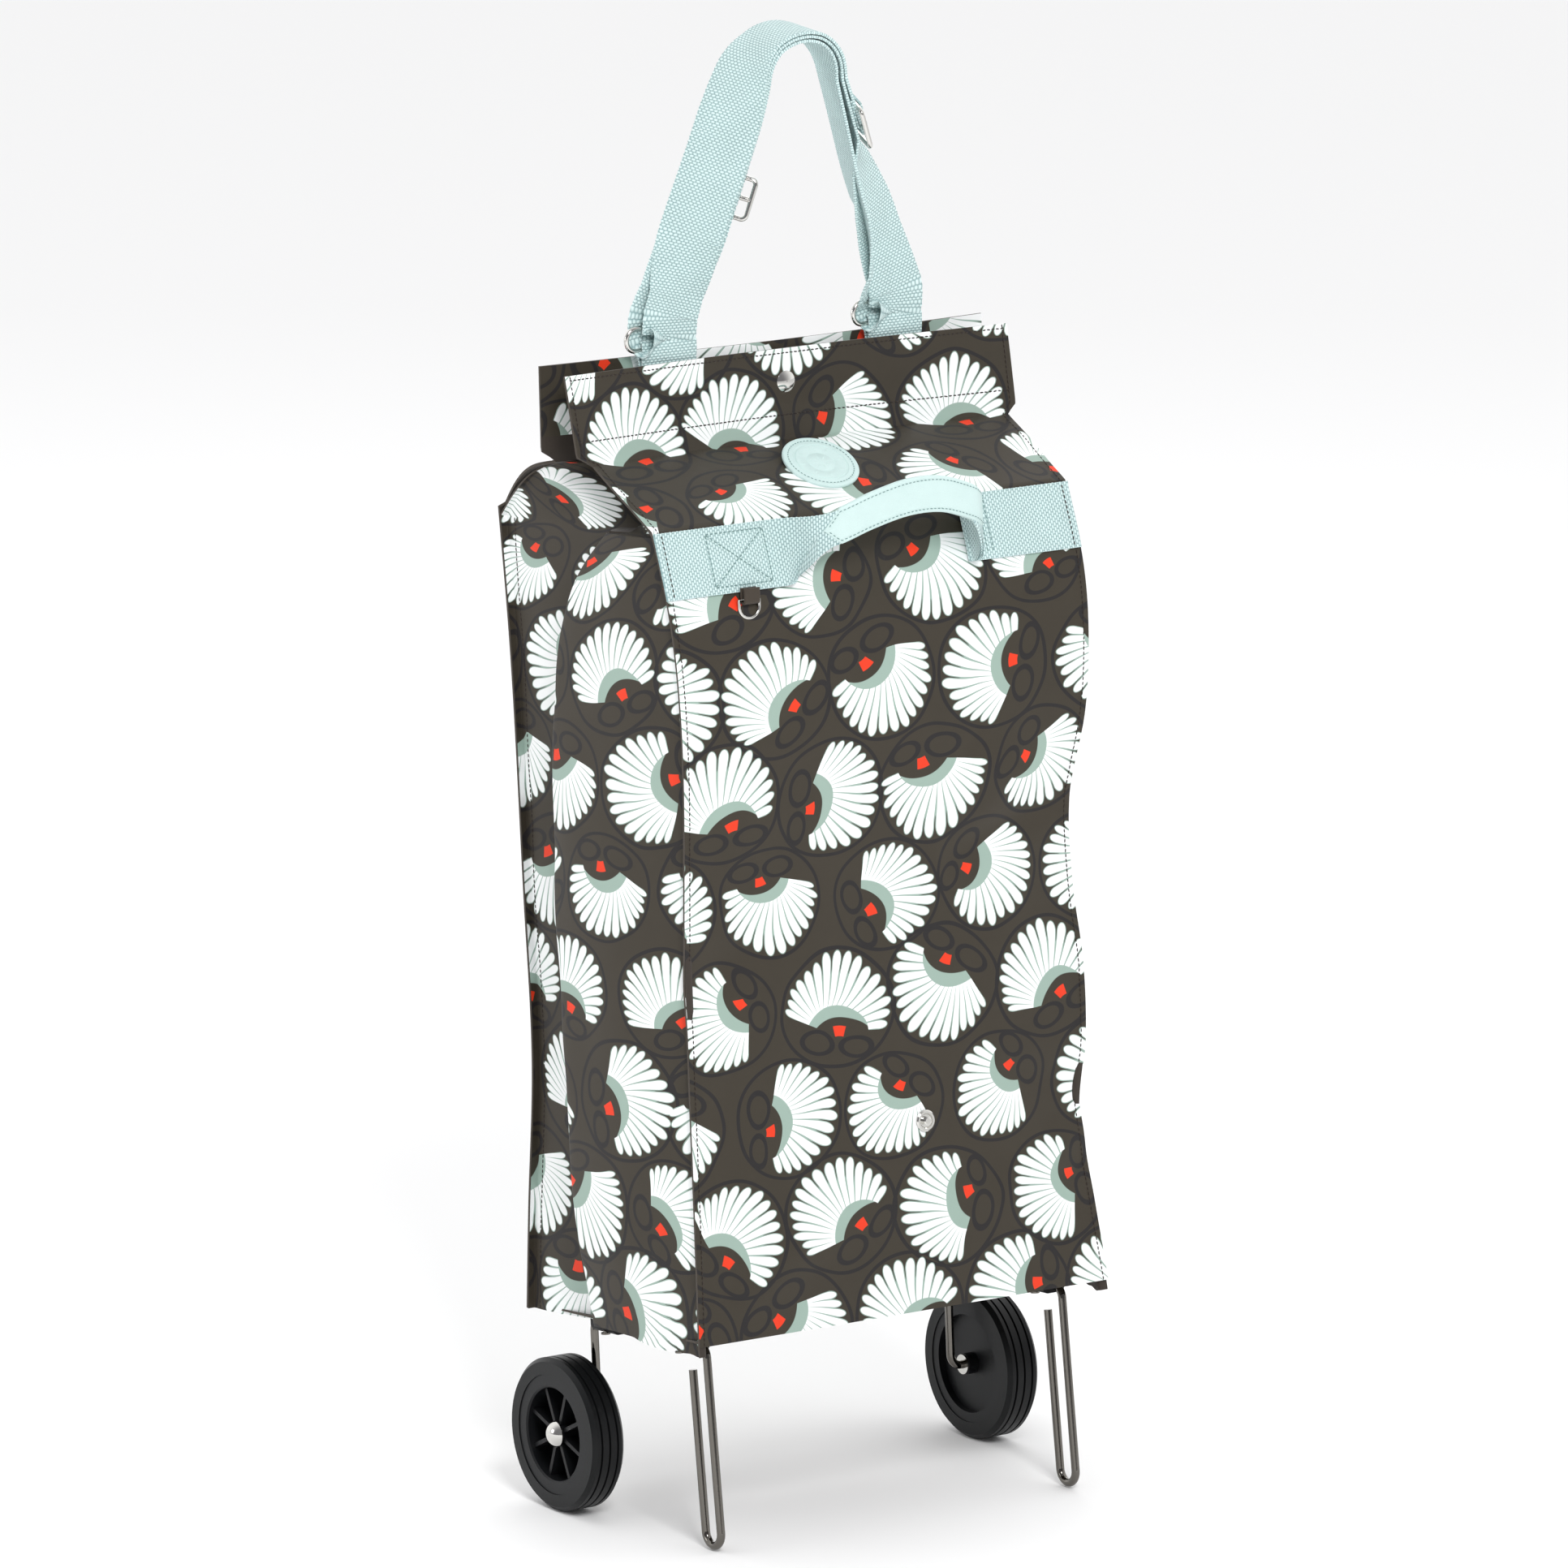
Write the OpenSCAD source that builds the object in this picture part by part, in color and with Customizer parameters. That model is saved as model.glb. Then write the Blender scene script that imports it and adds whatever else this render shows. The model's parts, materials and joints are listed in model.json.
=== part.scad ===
// Folding fabric shopping trolley: a gable-topped bag on two wire side frames that fold in.
//
// Bag frame: origin at the centre of the base, +Z up along the body, front towards -Y and the
// left side at -X. Every piece is drawn there, and stood() then leans it back and lifts it
// until the wheels and the hairpin feet touch the ground at z = 0.

/* [Bag] */
// Width of the bag across its front
bag_w = 292; // [270:1:310]
// Depth of the bag at its base
base_d = 179; // [172:1:186]
// Depth of the bag half way up
waist_d = 167; // [160:1:174]
// Depth of the bag where the front starts to lean in
knee_d = 174; // [168:1:180]
// Height at which the front starts to lean in
knee_h = 440; // [430:1:450]
// Height of the front shoulder above the base
front_h = 478; // [470:1:484]
// Distance of the front shoulder before the middle
front_shoulder = 75; // [72:1:80]
// Height of the rear shoulder above the base
rear_h = 480; // [476:1:486]
// Thickness of the lined fabric
cloth_t = 2; // [1.6:0.1:2.4]
// How far the centre pleat of each gusset is pushed in
pleat_in = 7; // [5:0.5:10]
// How far the front half of each gusset bulges out over the pleat
lap_out = 4; // [2:0.5:6]
// Angle by which the bag leans back on its frame
lean = 4.75; // [3:0.25:6]

/* [Top] */
// Height of the foot of the collars above the base
collar_foot = 512; // [508:1:520]
// Height of the two collar bands
collar_h = 53; // [45:1:60]
// Width of the collars
collar_w = 308; // [300:1:312]
// Gap between the collars at their ends, at the foot
foot_gap = 37; // [30:1:44]
// Gap between the collars at their ends, at the top
top_gap = 24; // [18:1:30]
// How far the collars stand behind the middle of the bag
gable_y = 3; // [0:0.5:5]
// Diameter of the round badge
badge_d = 47; // [40:1:50]
// Diameter of the snap cap
snap_d = 14; // [12:0.5:16]

/* [Webbing] */
// Thickness of one layer of webbing
web_t = 1.6; // [1.2:0.1:2]
// Half of the distance between the two ends of the grab handle
grab_half = 66; // [60:1:70]
// How far the grab handle stands off the front
grab_out = 32; // [26:1:38]
// Width of the pull strap
strap_w = 38; // [34:1:40]
// Half of the distance between the strap's rings
ring_x = 80; // [76:1:84]
// Height of the pull strap above its rings' lower bars
strap_h = 181; // [170:1:195]
// Radius of the strap's round top
strap_r = 33; // [28:1:38]

/* [Frame and wheels] */
// Diameter of the frame wire
wire_d = 5; // [4:0.5:6]
// Distance of each frame's fold line from the middle
hinge_x = 127; // [125:1:130]
// Depth of the fold line below the base
run_drop = 5; // [4.5:0.5:6]
// Distance of the rear legs and the axle behind the middle
rear_y = 52; // [46:1:56]
// Distance of the front legs before the middle
front_y = 68; // [62:1:72]
// Distance between the two limbs of a foot, centre to centre
foot_gap_y = 16; // [12:0.5:18]
// Angle by which the feet reach forward
foot_slant = 4; // [0:1:6]
// Depth of the axle below the base
axle_depth = 70; // [66:0.5:72]
// Diameter of the wheels
wheel_d = 92; // [86:1:96]
// Width of the wheels
wheel_w = 22; // [20:1:24]

/* [Hidden] */
$fn = 48;
left = -1;
right = 1;

// Fits
fit = 0.06;          // radial clearance of a pin or bar in its bore
near = 0.3;          // gap between faces of two bodies that nearly touch
through = 1;         // how far a cut runs past the face it opens

// Base and clips
wire_r = wire_d / 2;
board_t = 3;
board_inset = 4;
board_side = pleat_in + 3;  // keeps the board clear of the pleats
bend_r = 7;
clip_w = 16;
clip_l = 24;
clip_h = 9.5;
clip_from_leg = bend_r + 1.5;  // where a clip starts, clear of the wire's bend
rivet_r = 1.5;
rivet_head_r = 2.8;
rivet_head_h = 1;
rivet_from_leg = clip_from_leg + clip_l / 2;
rivet_side = 5.4;    // beside the run

// Standing height: the axle is one wheel radius above the ground
base_z = wheel_d / 2 + rear_y * sin(lean) + axle_depth * cos(lean);
foot_r = foot_gap_y / 2;
foot_turn = [bend_r - front_y, -run_drop - bend_r];  // centre of the front bend, y and z
foot_l = (base_z - foot_turn[0] * sin(lean) + foot_turn[1] * cos(lean)
          - (foot_r - bend_r) * sin(lean + foot_slant) - foot_r - wire_r)
         / cos(lean + foot_slant);
free_top = 8;        // how far the free limb's end stays below the front bend
origin_y = -16.6;    // puts the origin under the middle of the whole trolley

// Wheel, measured outwards along the axle from the wire's plane
wheel_in = 11;
wheel_out = wheel_in + wheel_w;
rim_r = 36;
spoke_zone_r = 28;
inner_recess_r = 30;
boss_r = 6.5;
boss_in = 9.5;
boss_out = wheel_out - 3;
plate_in = wheel_in + 5;
plate_out = wheel_in + 8;
spoke_out = wheel_out - 4;
spokes = 8;
spoke_t = 2.4;
tread_grooves = 3;
groove_w = 1.4;
groove_depth = 1.2;
tyre_edge = 2.5;
washer_r = 6;
washer_t = 1.2;
cap_r = 8;
cap_h = 5.5;

// Pull strap, drawn in its own frame: origin between the rings' lower bars
strap_lean = 7;      // forward of the body's own direction
strap_y = 2.1;
ring_z = 573;
ring_wire_r = 1.5;
ring_h = 13.5;
ring_w = strap_w + 8;
ring_end_r = ring_h / 2 - 0.2;
ring_shift = -5.5;  // the rings sit off the middle of the webbing, towards the left
ring_loop_w = ring_w - 2 * ring_end_r - 1;
slider_shift = 4;
ring_bend = 3;
loop_r = 3.6;
tab_z = 545;
strap_t_low = 4;
strap_t_top = 6;
strap_steps = 12;
slider_h = 24;
slider_w = strap_w + 5.5;
left_slider_at = 0.42;
right_slider_at = 0.6;

// D-ring
d_x = -91;
d_wire_r = 1;
d_r = 7;
d_side = 3.5;
d_drop = 6;
d_out = 3.4;
d_tab_w = 11;

function mix(a, b, t) = a + (b - a) * t;
function backwards(list) = [for (k = [len(list) - 1 : -1 : 0]) list[k]];

// ---------------------------------------------------------------- placing

module stood() {
    translate([0, origin_y, base_z])
        rotate([-lean, 0, 0])
            children();
}

module on_side(side) {
    if (side == left) children();
    else mirror([1, 0, 0]) children();
}

// Extrudes a shape drawn as (y, z) along X, centred.
module along_x(w) {
    translate([-w / 2, 0, 0])
        rotate([90, 0, 90])
            linear_extrude(w)
                children();
}

// Distance of the front and of the back from the middle, by height.
front_side = [[0, base_d / 2], [knee_h / 2, waist_d / 2], [knee_h, knee_d / 2],
              [front_h, front_shoulder]];
rear_side = [[0, base_d / 2], [knee_h / 2, waist_d / 2], [rear_h, (waist_d - 1) / 2]];
function front_y_at(z) = -lookup(z, front_side);

// Puts children on the front face at (x, z), with local +Z pointing out of it.
module on_front(x, z) {
    pitch = atan((front_y_at(z + 1) - front_y_at(z - 1)) / 2);
    translate([x, front_y_at(z), z])
        rotate([90 - pitch, 0, 0])
            children();
}

// ---------------------------------------------------------------- sheets

// A closed sheet through a grid of points, given a thickness along [0, dy, dz].
module sheet(grid, thickness) {
    rows = len(grid);
    cols = len(grid[0]);
    n = rows * cols;
    outer = [for (row = grid) for (p = row) p];
    inner = [for (p = outer) p + thickness];
    function id(i, j) = i * cols + j;
    function quad(a, b, c, d) = [[a, b, c], [a, c, d]];
    faces = [
        for (i = [0 : rows - 2]) for (j = [0 : cols - 2])
            each quad(id(i, j), id(i, j + 1), id(i + 1, j + 1), id(i + 1, j)),
        for (i = [0 : rows - 2]) for (j = [0 : cols - 2])
            each quad(n + id(i, j), n + id(i + 1, j), n + id(i + 1, j + 1), n + id(i, j + 1)),
        for (j = [0 : cols - 2])
            each quad(id(0, j + 1), id(0, j), n + id(0, j), n + id(0, j + 1)),
        for (j = [0 : cols - 2])
            each quad(id(rows - 1, j), id(rows - 1, j + 1),
                      n + id(rows - 1, j + 1), n + id(rows - 1, j)),
        for (i = [0 : rows - 2])
            each quad(id(i, 0), id(i + 1, 0), n + id(i + 1, 0), n + id(i, 0)),
        for (i = [0 : rows - 2])
            each quad(id(i + 1, cols - 1), id(i, cols - 1),
                      n + id(i, cols - 1), n + id(i + 1, cols - 1))
    ];
    polyhedron(concat(outer, inner), faces);
}

// Half of the gap between the collars at u across (-1 to 1) and v up (0 to 1). They are held
// together by the snap in the middle and spread towards their ends.
mid_gap_foot = 14;
mid_gap_snap = 4.8;
function half_gap(u, v) =
    mix(mix(mid_gap_foot, mid_gap_snap, min(1, v / 0.4)),
        mix(foot_gap, top_gap, v), pow(abs(u), 1.6)) / 2;

collar_cols = 12;
collar_rows = 4;
slope_rows = 3;
hinge_gap = 1.6;
function across(i) = 2 * i / collar_cols - 1;
function collar_point(u, v, front) =
    [u * collar_w / 2, gable_y + (front ? -1 : 1) * (half_gap(u, v) + cloth_t / 2),
     collar_foot + v * collar_h + (front ? 0 : 4 * v)];
function collar_grid(front) =
    [for (k = [0 : collar_rows])
        [for (i = [0 : collar_cols]) collar_point(across(i), k / collar_rows, front)]];

function shoulder_point(u, front) =
    [u * (bag_w + 4) / 2, front ? -front_shoulder : lookup(rear_h, rear_side),
     front ? front_h : rear_h];
function slope_grid(front) =
    [for (k = [0 : slope_rows])
        [for (i = [0 : collar_cols])
            let (u = across(i), v = mix(hinge_gap / 60, 0.985, k / slope_rows))
                shoulder_point(u, front) * (1 - v) + collar_point(u, 0, front) * v]];

// ---------------------------------------------------------------- the bag

// A panel's section as (y, z), from its outer face inwards.
module panel_profile(outline, side) {
    drop = [0, hinge_gap];
    top = len(outline) - 1;
    face = [for (k = [0 : top]) [side * outline[k][1], outline[k][0]] - (k == top ? drop : [0, 0])];
    polygon(concat(face, backwards([for (p = face) p - [side * cloth_t, 0]])));
}

module front_panel() {
    color("darkolivegreen") stood() along_x(bag_w) panel_profile(front_side, -1);
}

module back_panel() {
    color("darkolivegreen") stood() along_x(bag_w) panel_profile(rear_side, 1);
}

module rivet_places() {
    for (sx = [left, right], leg = [[rear_y, -1], [-front_y, 1]], side = [left, right])
        translate([sx * hinge_x + side * rivet_side, leg[0] + leg[1] * rivet_from_leg, 0])
            children();
}

module base_plate(w, d, low, high) {
    difference() {
        translate([-w / 2, -d / 2, low])
            cube([w, d, high - low]);
        rivet_places()
            translate([0, 0, low - through])
                cylinder(r = rivet_r + fit, h = high - low + 2 * through);
    }
}

module bottom_panel() {
    color("darkolivegreen") stood()
        base_plate(bag_w, base_d - 2 * cloth_t - 1, 0, cloth_t);
}

module base_board() {
    color("gray") stood()
        difference() {
            base_plate(bag_w - 2 * board_side, base_d - 4 * board_inset, cloth_t, cloth_t + board_t);
            rivet_places()
                translate([0, 0, cloth_t + board_t - rivet_head_h])
                    cylinder(r = rivet_head_r + fit, h = rivet_head_h + through);
        }
}

// One leaf of folded fabric in plan, from p to q.
module leaf(p, q) {
    run = q - p;
    translate(p)
        rotate(atan2(run[1], run[0]))
            translate([0, -cloth_t / 2])
                square([norm(run), cloth_t]);
}

// A gusset in plan: its front half laps over the pleat, its back half comes out from under it.
module gusset_plan() {
    x = -bag_w / 2 + cloth_t / 2;
    fold = [x - lap_out, 8];
    tuck = [x + pleat_in, -10];
    leaf([x, -base_d / 2], fold);
    leaf(fold, tuck);
    leaf(tuck, [x, base_d / 2]);
}

module gusset(side) {
    gap = cloth_t + 0.5;
    top = front_h - 8;
    rear = [for (p = rear_side) [p[1] - gap, min(p[0], top)]];
    front = [for (p = front_side) [gap - lookup(min(p[0], top), front_side), min(p[0], top)]];
    color("darkolivegreen") stood() on_side(side)
        intersection() {
            translate([0, 0, cloth_t])
                linear_extrude(top)
                    gusset_plan();
            along_x(2 * bag_w)
                polygon(concat(rear, backwards(front)));
        }
}

// The fabric that tucks in under the gable at each end.
module gusset_top(side) {
    x = -bag_w / 2 + cloth_t;
    z = front_h - 5.8;
    color("darkolivegreen") stood() on_side(side)
        sheet([
            [[x, -64, z], [x, 0, z], [x, 72, z]],
            [[x + 48, gable_y - 5, z + 31], [x + 50, gable_y, z + 32], [x + 48, gable_y + 5, z + 31]]
        ], [0, 0, -cloth_t]);
}

module front_slope() {
    color("darkolivegreen") stood() sheet(slope_grid(true), [0, 0.9, -1.8]);
}

module back_slope() {
    color("darkolivegreen") stood() mirror([0, 1, 0])
        sheet([for (row = slope_grid(false)) [for (p = row) [p[0], -p[1], p[2]]]],
              [0, 1.1, -1.6]);
}

module front_collar() {
    color("darkolivegreen") stood() sheet(collar_grid(true), [0, cloth_t, 0]);
}

module back_collar() {
    color("darkolivegreen") stood() mirror([0, 1, 0])
        sheet([for (row = collar_grid(false)) [for (p = row) [p[0], -p[1], p[2]]]],
              [0, cloth_t, 0]);
}

// ---------------------------------------------------------------- snaps and badge

snap_z = collar_foot + collar_h - 19.5;
snap_face = mid_gap_snap / 2 + cloth_t / 2;  // outer face of the fabric from the middle
socket_r = 5.5;
socket_hole_r = 3.4;
socket_t = 1.2;
stud_r = 1.8;

// Local +Z points towards the front.
module at_snap(y) {
    translate([0, gable_y + y, snap_z])
        rotate([90, 0, 0])
            children();
}

module snap_cap() {
    dome_r = 14;
    color("silver") stood() at_snap(-snap_face - 0.2)
        intersection() {
            cylinder(d = snap_d, h = 3);
            translate([0, 0, 2.6 - dome_r])
                sphere(r = dome_r, $fn = 64);
        }
}

module snap_socket() {
    color("silver") stood() at_snap(-mid_gap_snap / 2 + cloth_t / 2)
        rotate([180, 0, 0])
            difference() {
                cylinder(r = socket_r, h = socket_t);
                translate([0, 0, -through])
                    cylinder(r = socket_hole_r, h = socket_t + 2 * through);
            }
}

module snap_stud() {
    color("silver") stood() at_snap(mid_gap_snap / 2 - cloth_t / 2)
        union() {
            cylinder(r = socket_r, h = 0.7);
            cylinder(r = stud_r, h = 1.7);
        }
}

module lower_snap() {
    ring_r = 6.5;
    color("silver") stood() on_front(21, 112)
        rotate_extrude()
            polygon([
                [0, 0], [ring_r, 0], [ring_r, 0.8], [ring_r - 0.8, 1.4], [ring_r - 2, 1.4],
                [ring_r - 2.6, 0.7], [2.4, 0.7], [2.6, 2.8], [1.8, 3.2], [0, 3.2]
            ]);
}

// The badge is flat and the slope is slightly hollow, so its rim alone touches.
badge_gap = 0.5;
module badge() {
    foot = collar_point(0, 0, true);
    shoulder = shoulder_point(0, true);
    middle = mix(shoulder, foot, 0.52);
    color("paleturquoise") stood()
        translate(middle)
            rotate([atan2(foot[2] - shoulder[2], foot[1] - shoulder[1]), 0, 0])
                translate([0, 0, badge_gap])
                    cylinder(d = badge_d, h = 2.2);
}

// ---------------------------------------------------------------- band and grab handle

// The webbing sewn flat to the front, from the side seam to the end of the grab handle.
module band(side) {
    low = [front_y_at(knee_h), knee_h];
    top = [front_y_at(front_h - hinge_gap), front_h - hinge_gap];
    out = [web_t, 0];
    run = bag_w / 2 + 1 - band_from;
    color("paleturquoise") stood()
        translate([side * (band_from + run / 2), 0, 0])
            along_x(run)
                polygon([low, top, top - out, low - out]);
}

band_from = 60;
grab_low = front_h - 12;
grab_w = 20;
grab_steps = 24;
grab_t = 3;
grab_y = front_y_at(grab_low) - web_t - grab_t / 2 - 0.1;
grip_from = 5;
grip_t = 1.2;
function grab_point(k) =
    let (x = grab_half * (2 * k / grab_steps - 1))
        [x, grab_y - grab_out * cos(90 * x / grab_half)];
function grab_normal(k) =
    let (run = grab_point(k + 0.1) - grab_point(k - 0.1))
        [-run[1], run[0]] / norm(run);
function grab_side(first, last, off) =
    [for (k = [first : last]) grab_point(k) + off * grab_normal(k)];

module grab_strip(first, last, half_t) {
    polygon(concat(grab_side(first, last, -half_t), backwards(grab_side(first, last, half_t))));
}

module grab_handle() {
    color("paleturquoise") stood()
        translate([0, 0, grab_low])
            linear_extrude(grab_w)
                grab_strip(0, grab_steps, grab_t / 2);
}

module handle_grip() {
    color("powderblue") stood()
        difference() {
            translate([0, 0, grab_low - grip_t])
                linear_extrude(grab_w + 2 * grip_t)
                    grab_strip(grip_from, grab_steps - grip_from, grab_t / 2 + grip_t);
            translate([0, 0, grab_low])
                linear_extrude(grab_w)
                    grab_strip(grip_from - 1, grab_steps - grip_from + 1, grab_t / 2);
        }
}

// ---------------------------------------------------------------- D-ring

module at_d_ring() {
    z = knee_h - d_drop;
    translate([d_x, front_y_at(z) - d_out, z])
        children();
}

module x_bar(r, l) {
    rotate([0, 90, 0])
        cylinder(r = r, h = l, center = true);
}

module d_ring_tab() {
    color("darkolivegreen") stood() at_d_ring()
        difference() {
            union() {
                x_bar(2.4, d_tab_w);
                translate([-d_tab_w / 2, 0.6, 0])
                    cube([d_tab_w, 1.8, d_drop - 0.2]);
            }
            x_bar(d_wire_r + fit, d_tab_w + 2 * through);
        }
}

module d_ring() {
    color("silver") stood() at_d_ring() {
        x_bar(d_wire_r, 2 * d_r);
        translate([0, 0, -d_side])
            rotate([90, 0, 0])
                rotate([0, 0, 180])
                    rotate_extrude(angle = 180)
                        translate([d_r, 0])
                            circle(d_wire_r);
        for (side = [left, right])
            translate([side * d_r, 0, 0]) {
                sphere(d_wire_r);
                translate([0, 0, -d_side])
                    cylinder(r = d_wire_r, h = d_side);
            }
    }
}

// ---------------------------------------------------------------- clips and wire frames

// A clip beside a leg, which is at y = 0. It has a bore for the wire's run along Y.
module clip_shape() {
    corner = 4;
    difference() {
        union() {
            translate([-clip_w / 2, -clip_from_leg - clip_l, -clip_h + corner])
                cube([clip_w, clip_l, clip_h - corner]);
            translate([-clip_w / 2 + corner, -clip_from_leg - clip_l, -clip_h])
                cube([clip_w - 2 * corner, clip_l, corner + 0.01]);
            for (side = [left, right])
                translate([side * (clip_w / 2 - corner), -clip_from_leg, -clip_h + corner])
                    rotate([90, 0, 0])
                        cylinder(r = corner, h = clip_l);
        }
        translate([0, through - clip_from_leg, -run_drop])
            rotate([90, 0, 0])
                cylinder(r = wire_r + fit, h = clip_l + 2 * through);
        for (side = [left, right])
            translate([side * rivet_side, -rivet_from_leg, -clip_h - through])
                cylinder(r = rivet_r + fit, h = clip_h + 2 * through);
    }
}

module clip(side, y, facing) {
    color("black") stood() on_side(side)
        translate([-hinge_x, y, 0]) {
            if (facing > 0) clip_shape();
            else mirror([0, 1, 0]) clip_shape();
        }
}

module clip_rivets() {
    color("dimgray") stood() rivet_places() {
        translate([0, 0, -clip_h])
            cylinder(r = rivet_r, h = clip_h + cloth_t + board_t);
        for (z = [-clip_h - rivet_head_h, cloth_t + board_t - rivet_head_h])
            translate([0, 0, z])
                cylinder(r = rivet_head_r, h = rivet_head_h);
    }
}

// A bend in the YZ plane, from angle start (0 is +Y, 90 is up).
module yz_bend(start, sweep, r) {
    rotate([90, 0, 90])
        rotate([0, 0, start])
            rotate_extrude(angle = sweep)
                translate([r, 0])
                    circle(wire_r);
}

module upright(y, low, high) {
    translate([0, y, low])
        cylinder(r = wire_r, h = high - low);
}

// The hairpin foot, drawn straight down from the centre of the front bend.
module foot_limbs() {
    upright(-bend_r, -foot_l, 0);
    translate([0, foot_r - bend_r, -foot_l])
        yz_bend(180, 180, foot_r);
    upright(foot_gap_y - bend_r, -foot_l, -free_top);
}

module frame_wire(side) {
    color("dimgray") stood() on_side(side)
        translate([-hinge_x, 0, 0]) {
            translate([0, rear_y - bend_r, -run_drop])
                rotate([90, 0, 0])
                    cylinder(r = wire_r, h = rear_y + front_y - 2 * bend_r);
            translate([0, rear_y - bend_r, -run_drop - bend_r])
                yz_bend(0, 90, bend_r);
            upright(rear_y, bend_r - axle_depth, -run_drop - bend_r);
            translate([-bend_r, rear_y, bend_r - axle_depth])
                rotate([90, 0, 0])
                    rotate([0, 0, -90])
                        rotate_extrude(angle = 90)
                            translate([bend_r, 0])
                                circle(wire_r);
            translate([-bend_r, rear_y, -axle_depth])
                rotate([0, -90, 0])
                    cylinder(r = wire_r, h = wheel_out + 1 - bend_r);
            translate([0, foot_turn[0], foot_turn[1]]) {
                yz_bend(90, 90 - foot_slant, bend_r);
                rotate([-foot_slant, 0, 0])
                    foot_limbs();
            }
        }
}

// ---------------------------------------------------------------- wheels

// Local +Z runs outwards along the axle from the wire's plane.
module on_axle(side) {
    stood() on_side(side)
        translate([-hinge_x, rear_y, -axle_depth])
            rotate([0, -90, 0])
                children();
}

module axle_washer(side) {
    color("silver") on_axle(side)
        translate([0, 0, boss_in - near - washer_t])
            difference() {
                cylinder(r = washer_r, h = washer_t);
                translate([0, 0, -through])
                    cylinder(r = wire_r + fit, h = washer_t + 2 * through);
            }
}

module axle_cap(side) {
    dome_r = 9;
    color("silver") on_axle(side)
        translate([0, 0, boss_out + near])
            difference() {
                intersection() {
                    cylinder(r = cap_r, h = cap_h);
                    translate([0, 0, cap_h - dome_r])
                        sphere(r = dome_r, $fn = 64);
                }
                translate([0, 0, -through])
                    cylinder(r = wire_r + fit, h = through + wheel_out + 1.2 - boss_out - near);
            }
}

module hub(side) {
    color([0.12, 0.12, 0.13]) on_axle(side) {
        difference() {
            union() {
                translate([0, 0, boss_in])
                    cylinder(r = boss_r, h = boss_out - boss_in);
                translate([0, 0, plate_in])
                    cylinder(r = rim_r, h = plate_out - plate_in);
            }
            translate([0, 0, boss_in - through])
                cylinder(r = wire_r + fit, h = boss_out - boss_in + 2 * through);
        }
        rotate_extrude()
            polygon([
                [inner_recess_r, wheel_in + 0.6], [rim_r, wheel_in + 0.6],
                [rim_r, wheel_out - 0.6], [spoke_zone_r + 1, wheel_out - 0.6],
                [spoke_zone_r, wheel_out - 1.6], [spoke_zone_r, plate_in + 1],
                [inner_recess_r, plate_in + 1]
            ]);
        for (k = [0 : spokes - 1])
            rotate([0, 0, (k + 0.5) * 360 / spokes])
                translate([boss_r - 0.5, -spoke_t / 2, plate_out - 0.5])
                    cube([spoke_zone_r - boss_r + 1, spoke_t, spoke_out - plate_out + 0.5]);
    }
}

module tyre(side) {
    r = wheel_d / 2;
    pitch = wheel_w / (tread_grooves + 1);
    color([0.08, 0.08, 0.09]) on_axle(side)
        rotate_extrude($fn = 96)
            polygon([
                [rim_r, wheel_in], [r - tyre_edge, wheel_in], [r, wheel_in + tyre_edge],
                for (k = [1 : tread_grooves])
                    let (z = wheel_in + k * pitch)
                        each [
                            [r, z - groove_w / 2], [r - groove_depth, z - groove_w / 4],
                            [r - groove_depth, z + groove_w / 4], [r, z + groove_w / 2]
                        ],
                [r, wheel_out - tyre_edge], [r - tyre_edge, wheel_out], [rim_r, wheel_out]
            ]);
}

// ---------------------------------------------------------------- pull strap

module strap_frame() {
    stood()
        translate([0, strap_y, ring_z])
            rotate([strap_lean, 0, 0])
                children();
}

// The strap's middle line: a straight leg to the tangent point, then an arc over the top.
strap_foot = ring_h + loop_r + 0.1;
arc_z = strap_h - strap_r;
leg_dx = ring_x;
leg_dz = arc_z - strap_foot;
leg_d = sqrt(leg_dx * leg_dx + leg_dz * leg_dz);
tangent_a = acos(strap_r / leg_d) - atan(leg_dz / leg_dx);
tangent_p = [strap_r * cos(tangent_a), 0, arc_z + strap_r * sin(tangent_a)];
leg_l = sqrt(leg_d * leg_d - strap_r * strap_r);
leg_share = leg_l / (leg_l + strap_r * (90 - tangent_a) * PI / 180);

// Middle line at t from 0 at the left ring to 1 at the top, and its direction there.
function strap_at(t) =
    t < leg_share
        ? [-mix(ring_x, tangent_p[0], t / leg_share), 0,
           mix(strap_foot, tangent_p[2], t / leg_share)]
        : let (a = mix(tangent_a, 90, (t - leg_share) / (1 - leg_share)))
            [-strap_r * cos(a), 0, arc_z + strap_r * sin(a)];
function strap_along(t) =
    let (a = t < leg_share ? tangent_a
             : mix(tangent_a, 90, (t - leg_share) / (1 - leg_share)))
        [sin(a), 0, cos(a)];

// The webbing turns from flat across the bag at its foot to edge-on at the top. It holds its
// angle where a slider travels.
left_turn = [[0, 0], [0.08, 0], [0.26, 38], [0.59, 38], [0.9, 90], [1, 90]];
right_turn = [[0, 0], [0.1, 6], [0.3, 34], [0.42, 70], [0.76, 70], [0.95, 90], [1, 90]];
function strap_wide(t, turn) =
    let (a = lookup(t, turn), along = strap_along(t), flat = [cos(a), -sin(a), 0],
         w = t == 0 ? flat : flat - along * (flat * along))
        w / norm(w);
function strap_section(t, turn) =
    let (p = strap_at(t), w = strap_wide(t, turn) * strap_w / 2,
         n = cross(strap_along(t), strap_wide(t, turn)) * mix(strap_t_low, strap_t_top, t) / 2)
        [p - w - n, p + w - n, p + w + n, p - w + n];
function mirrored(p) = [-p[0], p[1], p[2]];

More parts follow.
